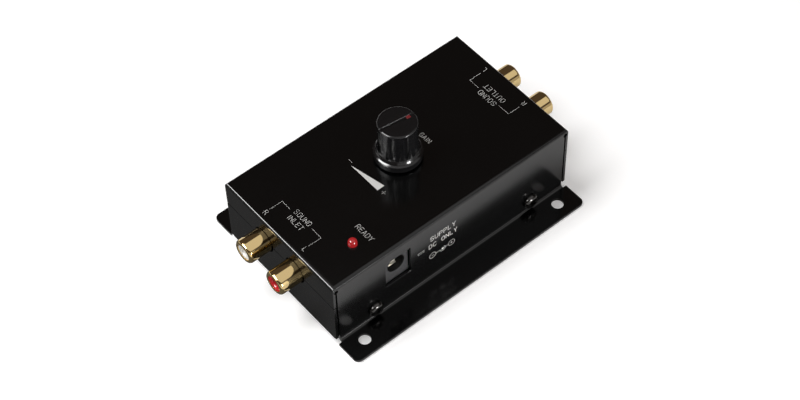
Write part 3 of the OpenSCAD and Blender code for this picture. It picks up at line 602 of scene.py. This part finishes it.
cutters.append(block("dc", (dc_low.x - DC_GAP_SIDE, -SIDE_Y - PAST, dc_low.z),
                     (dc_high.x + DC_GAP_SIDE, -SIDE_Y + PAST, dc_high.z + DC_GAP_TOP)))
cut(cover, cutters)
SHEET_EDGE = 0.1 * MM
soften(cover, width=SHEET_EDGE)
settle(cover, "case", "case_paint", case_paint, "top_cover")

# %% [markdown]
# ## The base tray
# The lower sheet closes the box: a floor with end walls that meet the lips at a fine seam,
# and four tabs that take the case screws. It starts as a box too, and loses its lid and long
# sides before its folds are bevelled.

# %% Folded tray
TRAY_GAP = 0.15 * MM
TRAY_HALF_W = SIDE_Y - SHEET - TRAY_GAP
TAB_W, TAB_H = 12 * MM, 8 * MM
SQUARE = 0.1
EAR_RISE = 0.05 * MM
EAR_Z = tray_low.z + TRAY_FOLD + EAR_RISE
tray = block("tray", (-END_X, -TRAY_HALF_W, tray_low.z), (END_X, TRAY_HALF_W, tray_high.z))
pick(tray, "faces", lambda face: face.normal.z > FACING or abs(face.normal.y) > FACING)
bpy.ops.mesh.delete(type="FACE")
for x in (screw_x - TAB_W / 2, screw_x + TAB_W / 2):
    for end in (-1, 1):
        bpy.ops.mesh.select_all(action="SELECT")
        bpy.ops.mesh.bisect(plane_co=(end * x, 0, 0), plane_no=(1, 0, 0))
bpy.ops.mesh.select_all(action="SELECT")
bpy.ops.mesh.bisect(plane_co=(0, 0, EAR_Z), plane_no=(0, 0, 1))
for side in (-1, 1):
    pick(tray, "edges", lambda e: away(e, 0, END_X) and level(e, 1, side * TRAY_HALF_W)
         and min(s.z for s in spots(e)) > EAR_Z - NEAR)
    reach = {"value": (0, side * (SIDE_Y - TRAY_HALF_W), 0)}
    bpy.ops.mesh.extrude_edges_move(TRANSFORM_OT_translate=reach)
    pick(tray, "edges", lambda e: level(e, 2, tray_low.z) and level(e, 1, side * TRAY_HALF_W)
         and abs(abs(sum(s.x for s in spots(e)) / 2) - screw_x) < NEAR)
    bpy.ops.mesh.extrude_edges_move(TRANSFORM_OT_translate={"value": (0, 0, TAB_H)})
look_out(tray, -1)
pick(tray, "edges", lambda e: level(e, 2, tray_low.z) and len(e.link_faces) == 2
     and abs(e.link_faces[0].normal.dot(e.link_faces[1].normal)) < SQUARE)
bpy.ops.mesh.bevel(offset=TRAY_FOLD, segments=8, profile=0.5, affect="EDGES")
deselect()
finish_with(tray, "SOLIDIFY", thickness=SHEET, offset=-1, use_even_offset=True,
            use_quality_normals=True)
print("skin of the tray:", len(tray.data.polygons), "faces")

# %% Openings of the tray
SPIGOT_R, THREAD_R = 2.27 * MM, 1.55 * MM
STANDOFF_HALF_AF = 2.75 * MM
_, standoffs_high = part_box("board_standoffs")
standoff_y = standoffs_high.y - STANDOFF_HALF_AF
standoff_x = standoffs_high.x - STANDOFF_HALF_AF / math.cos(math.radians(30))
ACROSS = Vector((0, PAST, 0))
cutters = []
for end in (-1, 1):
    for side in (-1, 1):
        at = Vector((end * standoff_x, side * standoff_y, tray_low.z))
        cutters.append(rod("spigot", at - THROUGH, at + THROUGH, SPIGOT_R, sides=48))
        at = Vector((end * screw_x, side * TRAY_HALF_W, screw_z))
        cutters.append(rod("thread", at - ACROSS, at + ACROSS, THREAD_R, sides=48))
cutters += socket_drills()
cut(tray, cutters)
soften(tray, width=SHEET_EDGE)
settle(tray, "case", "case_paint", case_paint, "base_tray")

# %% [markdown]
# ## Screws
# A pan head is turned with a flat crown and a well rounded shoulder, and a cross is cut into
# it. One screw is modelled and copied to its four places.

# %% Case screws
HEAD_H = 1.9 * MM
SHANK_R = 1.5 * MM
SHANK_L = 5 * MM
SHOULDER = 1.35 * MM
TIP_IN, TIP_L, HEAD_FOOT = 0.3 * MM, 0.4 * MM, 0.1 * MM
outline = [(0, -SHANK_L), (SHANK_R - TIP_IN, -SHANK_L), (SHANK_R, -SHANK_L + TIP_L), (SHANK_R, 0),
           (SCREW_HEAD_R - HEAD_FOOT, 0), (SCREW_HEAD_R, HEAD_FOOT)]
outline += arc(SCREW_HEAD_R - SHOULDER, HEAD_H - SHOULDER, SHOULDER, 0, 80) + [(0, HEAD_H)]
screw = turned("case_screw", outline, sides=48)
CROSS_L, CROSS_W, CROSS_Z = 3.1 * MM, 0.75 * MM, 0.7 * MM
CROSS_TURN, CROSS_TURN_MORE = 35, 20
arms = [block("arm", (-CROSS_L / 2, -CROSS_W / 2, CROSS_Z), (CROSS_L / 2, CROSS_W / 2, HEAD_H + PAST)),
        block("arm", (-CROSS_W / 2, -CROSS_L / 2, CROSS_Z), (CROSS_W / 2, CROSS_L / 2, HEAD_H + PAST))]
cut(screw, arms)
screws = []
for end in (-1, 1):
    for side in (-1, 1):
        place = Matrix.Translation((end * screw_x, side * SIDE_Y, screw_z))
        lay_out = Matrix.Rotation(math.radians(-90 * side), 4, "X")
        turn = Matrix.Rotation(math.radians(CROSS_TURN + CROSS_TURN_MORE * end), 4, "Z")
        screws.append(moved(copied(screw, "screw"), place @ (lay_out @ turn)))
bpy.data.objects.remove(screw)
screws = joined("case_screws_dressed", screws)
soften(screws, width=0.06 * MM)
settle(screws, "case", "black_steel", black_steel, "case_screws")

# %% [markdown]
# ## The knob
# The knob is turned as a skirt with a hollow sweep up to the body, and a cap with a rounded
# edge. Its flutes are cut with upright rods that stop short of the cap. A lobe lies under the
# pointer, so the flutes start half a pitch from it.

# %% Turned knob
FLUTES = 9
FLUTE_R, FLUTE_DEPTH = 1.2 * MM, 0.75 * MM
KNOB_R, SKIRT_R, CAP_EDGE = 6.5 * MM, 8 * MM, 0.5 * MM
RIM_H, RIM_EDGE, FOOT_H, CAP_H = 2.25 * MM, 0.2 * MM, 4.0 * MM, 0.75 * MM
SWEEP = ((7.88, 2.4), (7.83, 2.44), (7.36, 2.78), (7.3, 2.83),
         (7.26, 2.88), (6.97, 3.33), (6.93, 3.4), (6.66, 3.72))
HOLLOW_R, HOLLOW_H, BORE_R, BORE_H = 6.27 * MM, 2.5 * MM, 3.02 * MM, 11.8 * MM
knob_low, knob_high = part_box("volume_knob")
knob_h = knob_high.z - knob_low.z
outline = [(0, BORE_H), (BORE_R, BORE_H), (BORE_R, HOLLOW_H), (HOLLOW_R, HOLLOW_H), (HOLLOW_R, 0),
           (SKIRT_R - RIM_EDGE, 0), (SKIRT_R, RIM_EDGE)]
outline += arc(SKIRT_R - RIM_EDGE, RIM_H, RIM_EDGE, 0, 50, 4)
outline += [(r * MM, h * MM) for r, h in SWEEP]
outline += [(KNOB_R, FOOT_H), (KNOB_R, knob_h - CAP_H)]
outline += arc(KNOB_R - CAP_EDGE, knob_h - CAP_EDGE, CAP_EDGE, 0, 90, 6) + [(0, knob_h)]
knob = turned("knob", outline, sides=144)
rods = []
for n in range(FLUTES):
    turn = math.radians((n + 0.5) * 360 / FLUTES)
    at = (KNOB_R + FLUTE_R - FLUTE_DEPTH) * Vector((math.cos(turn), math.sin(turn), 0))
    foot, head = at + Vector((0, 0, FOOT_H)), at + Vector((0, 0, knob_h - CAP_H))
    rods.append(rod("flute", foot, head, FLUTE_R, sides=40))
cut(knob, rods)
print("knob with", len(rods), "flutes")

# %% Pointer slot and red pointer
SLOT_W, SLOT_DEPTH, SLOT_EDGE = 1.2 * MM, 0.4 * MM, 0.18 * MM
POINTER_FROM, POINTER_TO, POINTER_DROP = 3.35 * MM, 4.75 * MM, 0.12 * MM
POINTER_ANGLE = 7.5
slot_z = knob_h - SLOT_DEPTH
cut(knob, [block("slot", (-SKIRT_R, -SLOT_W / 2, slot_z), (SKIRT_R, SLOT_W / 2, knob_h + PAST))])
pick(knob, "edges", lambda e: level(e, 2, knob_h) and away(e, 1, SLOT_W / 2))
bpy.ops.mesh.bevel(offset=SLOT_EDGE, segments=4, profile=0.5, affect="EDGES")
deselect()
knob_place = (Matrix.Translation((knob_axis.x, knob_axis.y, knob_low.z))
              @ Matrix.Rotation(math.radians(-POINTER_ANGLE), 4, "Z"))
moved(knob, knob_place)
soften(knob, width=0.12 * MM, angle=30)
settle(knob, "knob", "knob_plastic", knob_plastic, "volume_knob")
pointer = block("pointer", (POINTER_FROM, -SLOT_W / 2, slot_z),
                (POINTER_TO, SLOT_W / 2, knob_h - POINTER_DROP))
moved(pointer, knob_place)
soften(pointer, width=0.1 * MM)
settle(pointer, "knob", "pointer_red", pointer_red, "knob_pointer")

# %% [markdown]
# ## Phono sockets
# Each socket shows a gilt barrel with a rounded, turned-in lip and a coloured insert a little
# behind it. Both are turned once, upright, and then laid along the length of the case at the
# four places.

# %% Barrel
BARREL_R, ROOT_R, BARREL_IN_R, MOUTH_R = 4.25 * MM, 4.05 * MM, 3.55 * MM, 2.9 * MM
LIP_R, LIP_T = 1.1 * MM, 1.2 * MM
ROOT_OUT, ROOT_STEP = 0.1 * MM, 0.05 * MM
MOUTH_FLARE, MOUTH_SINK, MOUTH_DEPTH = 0.15 * MM, 0.03 * MM, 0.2 * MM
shell_low, shell_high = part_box("output_left_shell")
front, back = shell_high.x, shell_low.x
root_front = END_X + ROOT_OUT
outline = [(BARREL_IN_R, back), (ROOT_R, back), (ROOT_R, root_front), (BARREL_R, root_front + ROOT_STEP)]
outline += arc(BARREL_R - LIP_R, front - LIP_R, LIP_R, 0, 90, 10)
outline += [(MOUTH_R + MOUTH_FLARE, front - MOUTH_SINK), (MOUTH_R, front - MOUTH_DEPTH),
            (MOUTH_R, front - LIP_T), (BARREL_IN_R, front - LIP_T), (BARREL_IN_R, back)]
barrel = turned("barrel", outline)
LUG_X, LUG_T, LUG_W = back + 1 * MM, 1 * MM, 2 * MM
lug = block("lug", ((BARREL_IN_R + ROOT_R) / 2, -LUG_W / 2, LUG_X - LUG_T / 2),
            (socket_z - shell_low.z, LUG_W / 2, LUG_X + LUG_T / 2))
barrel = joined("barrel", [barrel, lug])
soften(barrel)
print("barrel, mm:", round((front - back) / MM, 2), "long")

# %% Insert
HOLE_R, SINK_R, NECK_R = 1.8 * MM, 2.3 * MM, 1.97 * MM
INSERT_GAP, INSERT_EDGE, INSERT_BACK = 0.02 * MM, 0.15 * MM, 0.4 * MM
SINK_EDGE, SINK_EDGE_H, SINK_DEPTH, THROAT_DEPTH = 0.1 * MM, 0.12 * MM, 0.7 * MM, 2.48 * MM
insert_low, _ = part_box("output_left_insert")
face, throat = front - INSERT_BACK, front - THROAT_DEPTH
seat_r, plug_r, seat = BARREL_IN_R - INSERT_GAP, MOUTH_R - INSERT_GAP, front - LIP_T - INSERT_GAP
outline = [(NECK_R, insert_low.x), (seat_r, insert_low.x), (seat_r, seat), (plug_r, seat),
           (plug_r, face - INSERT_EDGE), (plug_r - INSERT_EDGE, face),
           (SINK_R + SINK_EDGE, face), (SINK_R - SINK_EDGE, face - SINK_EDGE_H),
           (HOLE_R, face - SINK_DEPTH), (HOLE_R, throat), (NECK_R, throat), (NECK_R, insert_low.x)]
insert = turned("insert", outline)
soften(insert)
print("insert, mm:", round((face - insert_low.x) / MM, 2), "long")

# %% Sockets in their places
colours = {"input_right": "insert_white", "input_left": "insert_red",
           "output_left": "insert_red", "output_right": "insert_white"}
lay_down = Matrix.Rotation(math.radians(90), 4, "Y")
for name, place in socket_places.items():
    heading = Matrix.Rotation(0 if place.x > 0 else math.pi, 4, "Z")
    at = Matrix.Translation((0, place.y, socket_z)) @ heading @ lay_down
    piece = moved(copied(barrel, name + "_barrel"), at)
    settle(piece, "case", "gilt", gilt, name + "_shell")
    piece = moved(copied(insert, name + "_insert_dressed"), at)
    settle(piece, "case", colours[name], FINISHES[colours[name]], name + "_insert")
bpy.data.objects.remove(barrel)
bpy.data.objects.remove(insert)

# %% [markdown]
# ## Power inlet and lamp
# The inlet is a moulded block behind its cut-out, with softened edges and a round hole. Its
# front is marked and gets paler specks that follow the grain. The specks are the texture of its
# spark-eroded face, and the paleness is painted light: the front shows lit while the hole keeps
# the dark base colour as painted shade. A sprung leaf in the hole shows as a bright spot. The
# lamp is a clear red dome on a collar that stays under the cover.

# %% Inlet
DC_FACE_L, DC_REAR_DROP = 3.5 * MM, 0.6 * MM
_, pin_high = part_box("dc_socket_pin")
PIN_R, PIN_HOLE_R = 1.05 * MM, 1.07 * MM
dc_x = (dc_low.x + dc_high.x) / 2
dc_z = pin_high.z - PIN_R
dc_y = dc_low.y
inlet = block("inlet", dc_low, (dc_high.x, dc_high.y, dc_high.z - DC_REAR_DROP))
pick(inlet, "faces", lambda f: f.normal.z > FACING)
bpy.ops.mesh.bisect(plane_co=(0, dc_y + DC_FACE_L, 0), plane_no=(0, 1, 0))
pick(inlet, "faces", lambda f: f.normal.z > FACING and f.calc_center_median().y < dc_y + DC_FACE_L)
bpy.ops.mesh.extrude_region_move(TRANSFORM_OT_translate={"value": (0, 0, DC_REAR_DROP)})
deselect()
DC_HOLE_R, DC_HOLE_L = 3.4 * MM, 10 * MM
cut(inlet, [rod("hole", (dc_x, dc_y - PAST, dc_z), (dc_x, dc_y + DC_HOLE_L, dc_z), DC_HOLE_R),
            rod("pin", (dc_x, dc_y, dc_z), (dc_x, dc_high.y + PAST, dc_z), PIN_HOLE_R)])
soften(inlet, width=0.12 * MM)
SQUARE_ON = 0.9
# The front faces are marked: they get the paler specks, painted light against the painted shade in the
# hole.
mask = inlet.data.attributes.new(LIT_SPECKLE_MASK, "FLOAT", "FACE")
for facet in inlet.data.polygons:
    mask.data[facet.index].value = 1 if facet.normal.y < -SQUARE_ON else 0
settle(inlet, "case", "moulded_plastic", moulded_plastic, "dc_socket_housing")

# %% Leaf of the inlet
LEAF_HALF_W, LEAF_T, LEAF_RISE = 1.5 * MM, 0.3 * MM, 1.2 * MM
LEAF_FROM, LEAF_TO, LEAF_Z = dc_y + 1.9 * MM, dc_y + 4.8 * MM, dc_z - 2.6 * MM
leaf = block("leaf", (dc_x - LEAF_HALF_W, LEAF_FROM, LEAF_Z),
             (dc_x + LEAF_HALF_W, LEAF_TO, LEAF_Z + LEAF_T))
pick(leaf, "faces", lambda f: f.normal.y > FACING)
bpy.ops.transform.translate(value=(0, 0, LEAF_RISE))
deselect()
soften(leaf, width=0.06 * MM)
settle(leaf, "case", "tinned_brass", tinned_brass, "dc_socket_spring")

# %% Lamp
lamp_low, lamp_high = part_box("power_led")
LENS_R, COLLAR_R, COLLAR_H = 1.5 * MM, 1.9 * MM, 1 * MM
lens_h = lamp_high.z - lamp_low.z
outline = [(0, 0), (COLLAR_R, 0), (COLLAR_R, COLLAR_H), (LENS_R, COLLAR_H)]
outline += arc(0, lens_h - LENS_R, LENS_R, 0, 90, 16)
lens = turned("lamp", outline, sides=48)
moved(lens, Matrix.Translation((lamp_axis.x, lamp_axis.y, lamp_low.z)))
soften(lens)
settle(lens, "case", "lamp_red", lamp_red, "power_led")

# %% [markdown]
# ## Printing
# The white marks on the cover are plain ones: which end is which, left and right, a wedge
# from soft to loud, and the usual sign for the polarity of the inlet. Every line is a plate a
# hundredth of a millimetre thick. A letter is a few such lines on a grid four wide and six
# high, so all strokes keep one width.

# %% Printed lines
INK_T = 0.012 * MM
LINE_W, TYPE_W, SIDE_W = 0.09 * MM, 0.13 * MM, 0.19 * MM
TOP_SKIN = TOP_Z + INK_T / 2
SIDE_SKIN = -SIDE_Y - INK_T / 2
ON_TOP = Matrix.Translation((0, 0, TOP_SKIN))
ON_SIDE = Matrix.Translation((0, SIDE_SKIN, 0)) @ Matrix.Rotation(math.radians(90), 4, "X")
marks = []


def stroke(start, end, width=LINE_W, skin=ON_TOP):
    """A straight printed line between two points, in millimetres."""
    start, end = Vector((*start, 0)) * MM, Vector((*end, 0)) * MM
    run = end - start
    line = block("stroke", (-width / 2, -width / 2, -INK_T / 2),
                 (run.length + width / 2, width / 2, INK_T / 2))
    place = Matrix.Translation(start) @ Matrix.Rotation(math.atan2(run.y, run.x), 4, "Z")
    marks.append(moved(line, skin @ place))


def chain(*points, width=LINE_W, skin=ON_TOP):
    """A printed line with corners."""
    for start, end in zip(points, points[1:]):
        stroke(start, end, width, skin)


print("ink, mm:", round(INK_T / MM, 3), "thick")

# %% Letters
GRID_W, GRID_H, LETTER_GAP, NARROW = 4, 6, 2, 0.9
WIDTHS = {"I": 1, " ": 1.2}
ROUND = ((1, 0), (3, 0), (4, 1.4), (4, 4.6), (3, 6), (1, 6), (0, 4.6), (0, 1.4), (1, 0))
BOWL = ((0, 3), (3, 3), (4, 3.8), (4, 5.2), (3, 6), (0, 6))
LEFT_BOW = ((4, 4.8), (3, 6), (1, 6), (0, 4.6), (0, 1.4), (1, 0))
STICKS = {
    "A": [((0, 0), (2, 6), (4, 0)), ((0.7, 2), (3.3, 2))],
    "C": [LEFT_BOW + ((3, 0), (4, 1.2))],
    "D": [((0, 0), (0, 6), (2.6, 6), (4, 4.4), (4, 1.6), (2.6, 0), (0, 0))],
    "E": [((4, 0), (0, 0), (0, 6), (4, 6)), ((0, 3.1), (3.4, 3.1))],
    "G": [LEFT_BOW + ((4, 0), (4, 2.8), (2.2, 2.8))],
    "I": [((0.5, 0), (0.5, 6))],
    "L": [((0, 6), (0, 0), (3.6, 0))],
    "N": [((0, 0), (0, 6), (4, 0), (4, 6))],
    "O": [ROUND],
    "P": [((0, 0), (0, 6)), BOWL],
    "R": [((0, 0), (0, 6)), BOWL, ((2.2, 3), (4, 0))],
    "S": [((0, 1.2), (1, 0), (3, 0), (4, 1), (4, 2.2), (3, 3)),
          ((3, 3), (1, 3.2), (0, 4), (0, 5), (1, 6), (3, 6), (4, 5))],
    "T": [((2, 0), (2, 6)), ((0, 6), (4, 6))],
    "U": [((0, 6), (0, 1.4), (1, 0), (3, 0), (4, 1.4), (4, 6))],
    "Y": [((0, 6), (2, 2.8), (4, 6)), ((2, 2.8), (2, 0))],
}


def letters(text, cap, at, turn=0, skin=ON_TOP, width=TYPE_W):
    """A centred word with a given height of capitals, in millimetres, on one of the skins."""
    unit = cap / GRID_H
    wide = [WIDTHS.get(letter, GRID_W) for letter in text]
    left = -(sum(wide) + LETTER_GAP * (len(text) - 1)) / 2
    spin = Matrix.Rotation(math.radians(turn), 2)
    for letter, room in zip(text, wide):
        for line in STICKS.get(letter, []):
            points = (spin @ Vector(((left + x) * NARROW, y - GRID_H / 2)) * unit + Vector(at)
                      for x, y in line)
            chain(*points, width=width, skin=skin)
        left += room + LETTER_GAP


print("letters:", "".join(STICKS))

# %% Marks on the top
TOWARDS_OUTPUT, TOWARDS_INPUT = -90, 90
chain((-43.9, 9.7), (-39.1, 9.7), (-39.1, 5.7))
chain((-38.7, -4.7), (-38.7, -9.4), (-43.4, -9.4))
letters("R", 1.7, (-45.6, 9.6), TOWARDS_OUTPUT)
letters("L", 1.6, (-45.2, -9.5), TOWARDS_OUTPUT)
letters("SOUND", 1.75, (-38.2, 0.3), TOWARDS_OUTPUT)
letters("INLET", 1.75, (-41.1, 0.3), TOWARDS_OUTPUT)
chain((43.0, 9.2), (38.3, 9.2), (38.3, 4.9))
chain((38.2, -5.3), (38.2, -9.9), (42.9, -9.9))
letters("L", 1.6, (45.0, 9.6), TOWARDS_INPUT)
letters("R", 1.7, (45.0, -9.8), TOWARDS_INPUT)
letters("SOUND", 1.8, (37.5, -0.2), TOWARDS_INPUT)
letters("OUTLET", 1.8, (40.6, -0.4), TOWARDS_INPUT)
letters("GAIN", 1.6, (11.4, 0.0), TOWARDS_OUTPUT)
letters("READY", 1.75, (-27.3, -16.6), TOWARDS_OUTPUT)
print("marks on the top:", len(marks))

# %% [markdown]
# The wedge starts as a plate whose far end is drawn together to a point. The sign for the
# polarity is three small rings with a plus, a dot and a minus, joined by short lines, and the
# words on the long side are upright.

# %% Wedge, minus and plus
WEDGE_TIP, WEDGE_LEFT, WEDGE_RIGHT = (-13.83, 6.85), (-13.73, -6.4), (-10.92, -6.4)
wedge = block("wedge", (WEDGE_LEFT[0] * MM, WEDGE_LEFT[1] * MM, -INK_T / 2),
              (WEDGE_RIGHT[0] * MM, WEDGE_TIP[1] * MM, INK_T / 2))
for half in (-1, 1):
    pick(wedge, "verts", lambda v: v.co.y > 0 and v.co.z * half > 0)
    bpy.ops.mesh.merge(type="CENTER")
    pick(wedge, "verts", lambda v: v.co.y > 0 and v.co.z * half > 0)
    shift = WEDGE_TIP[0] - (WEDGE_LEFT[0] + WEDGE_RIGHT[0]) / 2
    bpy.ops.transform.translate(value=(shift * MM, 0, 0))
deselect()
marks.append(moved(wedge, ON_TOP))
SIGN = 0.8
MINUS_AT, PLUS_AT = (-12.8, 8.3), (-12.9, -8.4)
stroke((MINUS_AT[0], MINUS_AT[1] + SIGN), (MINUS_AT[0], MINUS_AT[1] - SIGN))
stroke((PLUS_AT[0] - SIGN, PLUS_AT[1]), (PLUS_AT[0] + SIGN, PLUS_AT[1]))
stroke((PLUS_AT[0], PLUS_AT[1] - SIGN), (PLUS_AT[0], PLUS_AT[1] + SIGN))
settle(joined("printing", marks), "case", None, print_ink)
marks.clear()

# %% Signs and words on the long side
def ring(at, radius, width, first=0, last=360):
    """A printed ring on the long side, or a part of one, spun from a small plate."""
    piece = block("ring", (radius - width / 2, -NEAR / 10, -INK_T / 2),
                  (radius + width / 2, 0, INK_T / 2))
    pick(piece, "faces", lambda f: f.normal.y < FACING)
    bpy.ops.mesh.delete(type="FACE")
    bpy.ops.mesh.select_all(action="SELECT")
    bpy.ops.mesh.spin(steps=32, angle=math.radians(last - first), center=(0, 0, 0), axis=(0, 0, 1))
    bpy.ops.mesh.select_all(action="SELECT")
    bpy.ops.mesh.remove_doubles(threshold=SPIN_MERGE)
    bpy.ops.mesh.normals_make_consistent(inside=False)
    deselect()
    place = (Matrix.Translation((at[0] * MM, at[1] * MM, 0))
             @ Matrix.Rotation(math.radians(first), 4, "Z"))
    marks.append(moved(piece, ON_SIDE @ place))


def side_line(x0, z0, x1, z1):
    """A fine line of a sign on the long side."""
    stroke((x0, z0), (x1, z1), width=SIGN_W, skin=ON_SIDE)


SIGN_Z, SIGN_LEFT, SIGN_MID, SIGN_RIGHT = 11.8, -8.9, -4.75, -1.05
SIGN_R, SIGN_MID_R, SIGN_ARM, SIGN_W = 1.3, 1.1, 0.4, 0.11 * MM
DOT_R = 0.22 * MM
for x in (SIGN_LEFT, SIGN_RIGHT):
    ring((x, SIGN_Z), SIGN_R * MM, SIGN_W)
    side_line(x - SIGN_ARM, SIGN_Z, x + SIGN_ARM, SIGN_Z)
side_line(SIGN_RIGHT, SIGN_Z - SIGN_ARM, SIGN_RIGHT, SIGN_Z + SIGN_ARM)
ring((SIGN_MID, SIGN_Z), SIGN_MID_R * MM, SIGN_W, first=60, last=300)
ring((SIGN_MID, SIGN_Z), DOT_R, 2 * DOT_R)
side_line(SIGN_LEFT + SIGN_R, SIGN_Z, SIGN_MID - SIGN_MID_R, SIGN_Z)
side_line(SIGN_MID, SIGN_Z, SIGN_RIGHT - SIGN_R, SIGN_Z)
letters("SUPPLY", 2.0, (-4.6, 20.7), skin=ON_SIDE, width=SIDE_W)
letters("DC  ONLY", 1.9, (-4.6, 17.1), skin=ON_SIDE, width=SIDE_W)
DASH_X, DASH_Z, DASH_L, DASHES_L, DASH_RISE = -14.9, 16.8, 0.5, 2.5, 0.7
for n in range(3):
    side_line(DASH_X + n, DASH_Z, DASH_X + n + DASH_L, DASH_Z)
side_line(DASH_X, DASH_Z + DASH_RISE, DASH_X + DASHES_L, DASH_Z + DASH_RISE)
settle(joined("side_printing", marks), "case", None, side_ink)

# %% [markdown]
# ## The studio
# The floor is white: it is a pale diffuse floor, and where it is seen directly, mirrored or
# through the lamp a little light is added, so that the open floor reaches white while the
# shadow round the object stays.

# %% Floor
FLOOR_SIZE, FLOOR_DROP = 6, 0.02 * MM
FLOOR_COLOUR = (0.8, 0.8, 0.8, 1)
GLOW_SEEN, GLOW_MIRRORED = 0.34, 0.08
deselect()
bpy.ops.mesh.primitive_plane_add(size=FLOOR_SIZE, location=(0, 0, -FLOOR_DROP))
floor = bpy.context.object
floor.name = "floor"
paper = bpy.data.materials.new("paper")
paper.use_nodes = True
tree = paper.node_tree
shader = tree.nodes["Principled BSDF"]
shader.inputs["Base Color"].default_value = FLOOR_COLOUR
shader.inputs["Roughness"].default_value = 1
shader.inputs["Specular IOR Level"].default_value = 0
glow = tree.nodes.new("ShaderNodeEmission")
glow.inputs["Color"].default_value = (1, 1, 1, 1)
path = tree.nodes.new("ShaderNodeLightPath")
mirrored = tree.nodes.new("ShaderNodeMath")
mirrored.operation = "MAXIMUM"
direct = tree.nodes.new("ShaderNodeMath")
direct.operation = "MULTIPLY"
direct.inputs[1].default_value = GLOW_SEEN
both = tree.nodes.new("ShaderNodeMath")
both.operation = "MULTIPLY_ADD"
both.inputs[1].default_value = GLOW_MIRRORED
total = tree.nodes.new("ShaderNodeAddShader")
link_in(tree, path.outputs["Is Camera Ray"], direct.inputs[0])
link_in(tree, path.outputs["Is Glossy Ray"], mirrored.inputs[0])
link_in(tree, path.outputs["Is Transmission Ray"], mirrored.inputs[1])
link_in(tree, mirrored.outputs[0], both.inputs[0])
link_in(tree, direct.outputs[0], both.inputs[2])
link_in(tree, both.outputs[0], glow.inputs["Strength"])
link_in(tree, shader.outputs["BSDF"], total.inputs[0])
link_in(tree, glow.outputs["Emission"], total.inputs[1])
link_in(tree, total.outputs["Shader"], tree.nodes["Material Output"].inputs["Surface"])
floor.data.materials.append(paper)
print("floor:", floor.name, "with", len(tree.nodes), "nodes")

# %% [markdown]
# A wide soft lamp hangs above and left of the object and gives the shadow its soft slope. It
# lights the object, but isn't mirrored in it. Black paint and gilt show little but what they
# mirror, so two more lamps show only in reflections: a strip farther left draws the bright line
# on the near fold and the long glints on the lips and the knob, and a wide pale panel above and
# right of the camera, square to its view, is the cream stripe on the barrels. A small lamp in
# front lights the long side, between a low pale panel and a dim one on the right. A dark card
# by the input end shows only in reflections too, so that this end mirrors no white floor.

# %% Lamps
def lamp(name, place, turn, size, power):
    """An area lamp that no camera sees."""
    deselect()
    bpy.ops.object.light_add(type="AREA", location=place, rotation=turn)
    lamp_object = bpy.context.object
    lamp_object.name = name
    lamp_object.data.shape = "RECTANGLE"
    lamp_object.data.size, lamp_object.data.size_y = size
    lamp_object.data.energy = power
    lamp_object.visible_camera = False
    return lamp_object


def softbox(name, direction, distance, size, power):
    """A lamp that looks at the object from a direction."""
    way = Vector(direction).normalized()
    return lamp(name, way * distance, way.to_track_quat("Z", "Y").to_euler(), size, power)


overhead = lamp("softbox_top", place=(-0.56, 0.38, 1.0), turn=(0, 0, 0), size=(1.0, 0.52), power=16.5)
overhead.visible_glossy = False
strip = softbox("strip_left", direction=(-0.73, 0.25, 0.63), distance=1.25, size=(0.9, 0.5), power=34.0)
strip.visible_diffuse = False
softbox("softbox_front", direction=(0.09, -0.98, 0.17), distance=1.1, size=(0.26, 0.2), power=8.5)
softbox("panel_front", direction=(-0.15, -1.0, 0.24), distance=0.6, size=(0.8, 0.24), power=0.36)
softbox("panel_right", direction=(0.5, -0.85, 0.18), distance=1.3, size=(1.0, 0.5), power=0.63)
PANEL_Z = 0.53
PANEL_ACROSS, PANEL_ALONG = (-0.4, 0.77), (-0.5, 0.225)
view_angle = camera.rotation_euler.z
panel_middle = (Matrix.Rotation(view_angle, 3, "Z")
                @ Vector((sum(PANEL_ACROSS) / 2, sum(PANEL_ALONG) / 2, PANEL_Z)))
panel_size = PANEL_ACROSS[1] - PANEL_ACROSS[0], PANEL_ALONG[1] - PANEL_ALONG[0]
panel = lamp("panel_above", place=panel_middle, turn=(0, 0, view_angle), size=panel_size, power=1.9)
panel.visible_diffuse = False

# %% Card and surroundings
CARD_COLOUR, WORLD_COLOUR = (0.09, 0.09, 0.09, 1), (0.085, 0.067, 0.057, 1)
CARD_LOW, CARD_HIGH = (-0.3, -0.05), (-0.0487, 0.2)
CARD_UNDER, CARD_OVER = 0.01 * MM, 0.02 * MM
card = block("card", (*CARD_LOW, CARD_UNDER), (*CARD_HIGH, CARD_OVER))
felt = bpy.data.materials.new("felt")
felt.use_nodes = True
shader = felt.node_tree.nodes["Principled BSDF"]
shader.inputs["Base Color"].default_value = CARD_COLOUR
shader.inputs["Roughness"].default_value = 1
card.data.materials.append(felt)
card.visible_camera = False
card.visible_diffuse = False
card.visible_shadow = False
world = bpy.data.worlds.new("studio")
world.use_nodes = True
world.node_tree.nodes["Background"].inputs["Color"].default_value = WORLD_COLOUR
scene.world = world
print("surroundings:", card.name, "and", world.name)
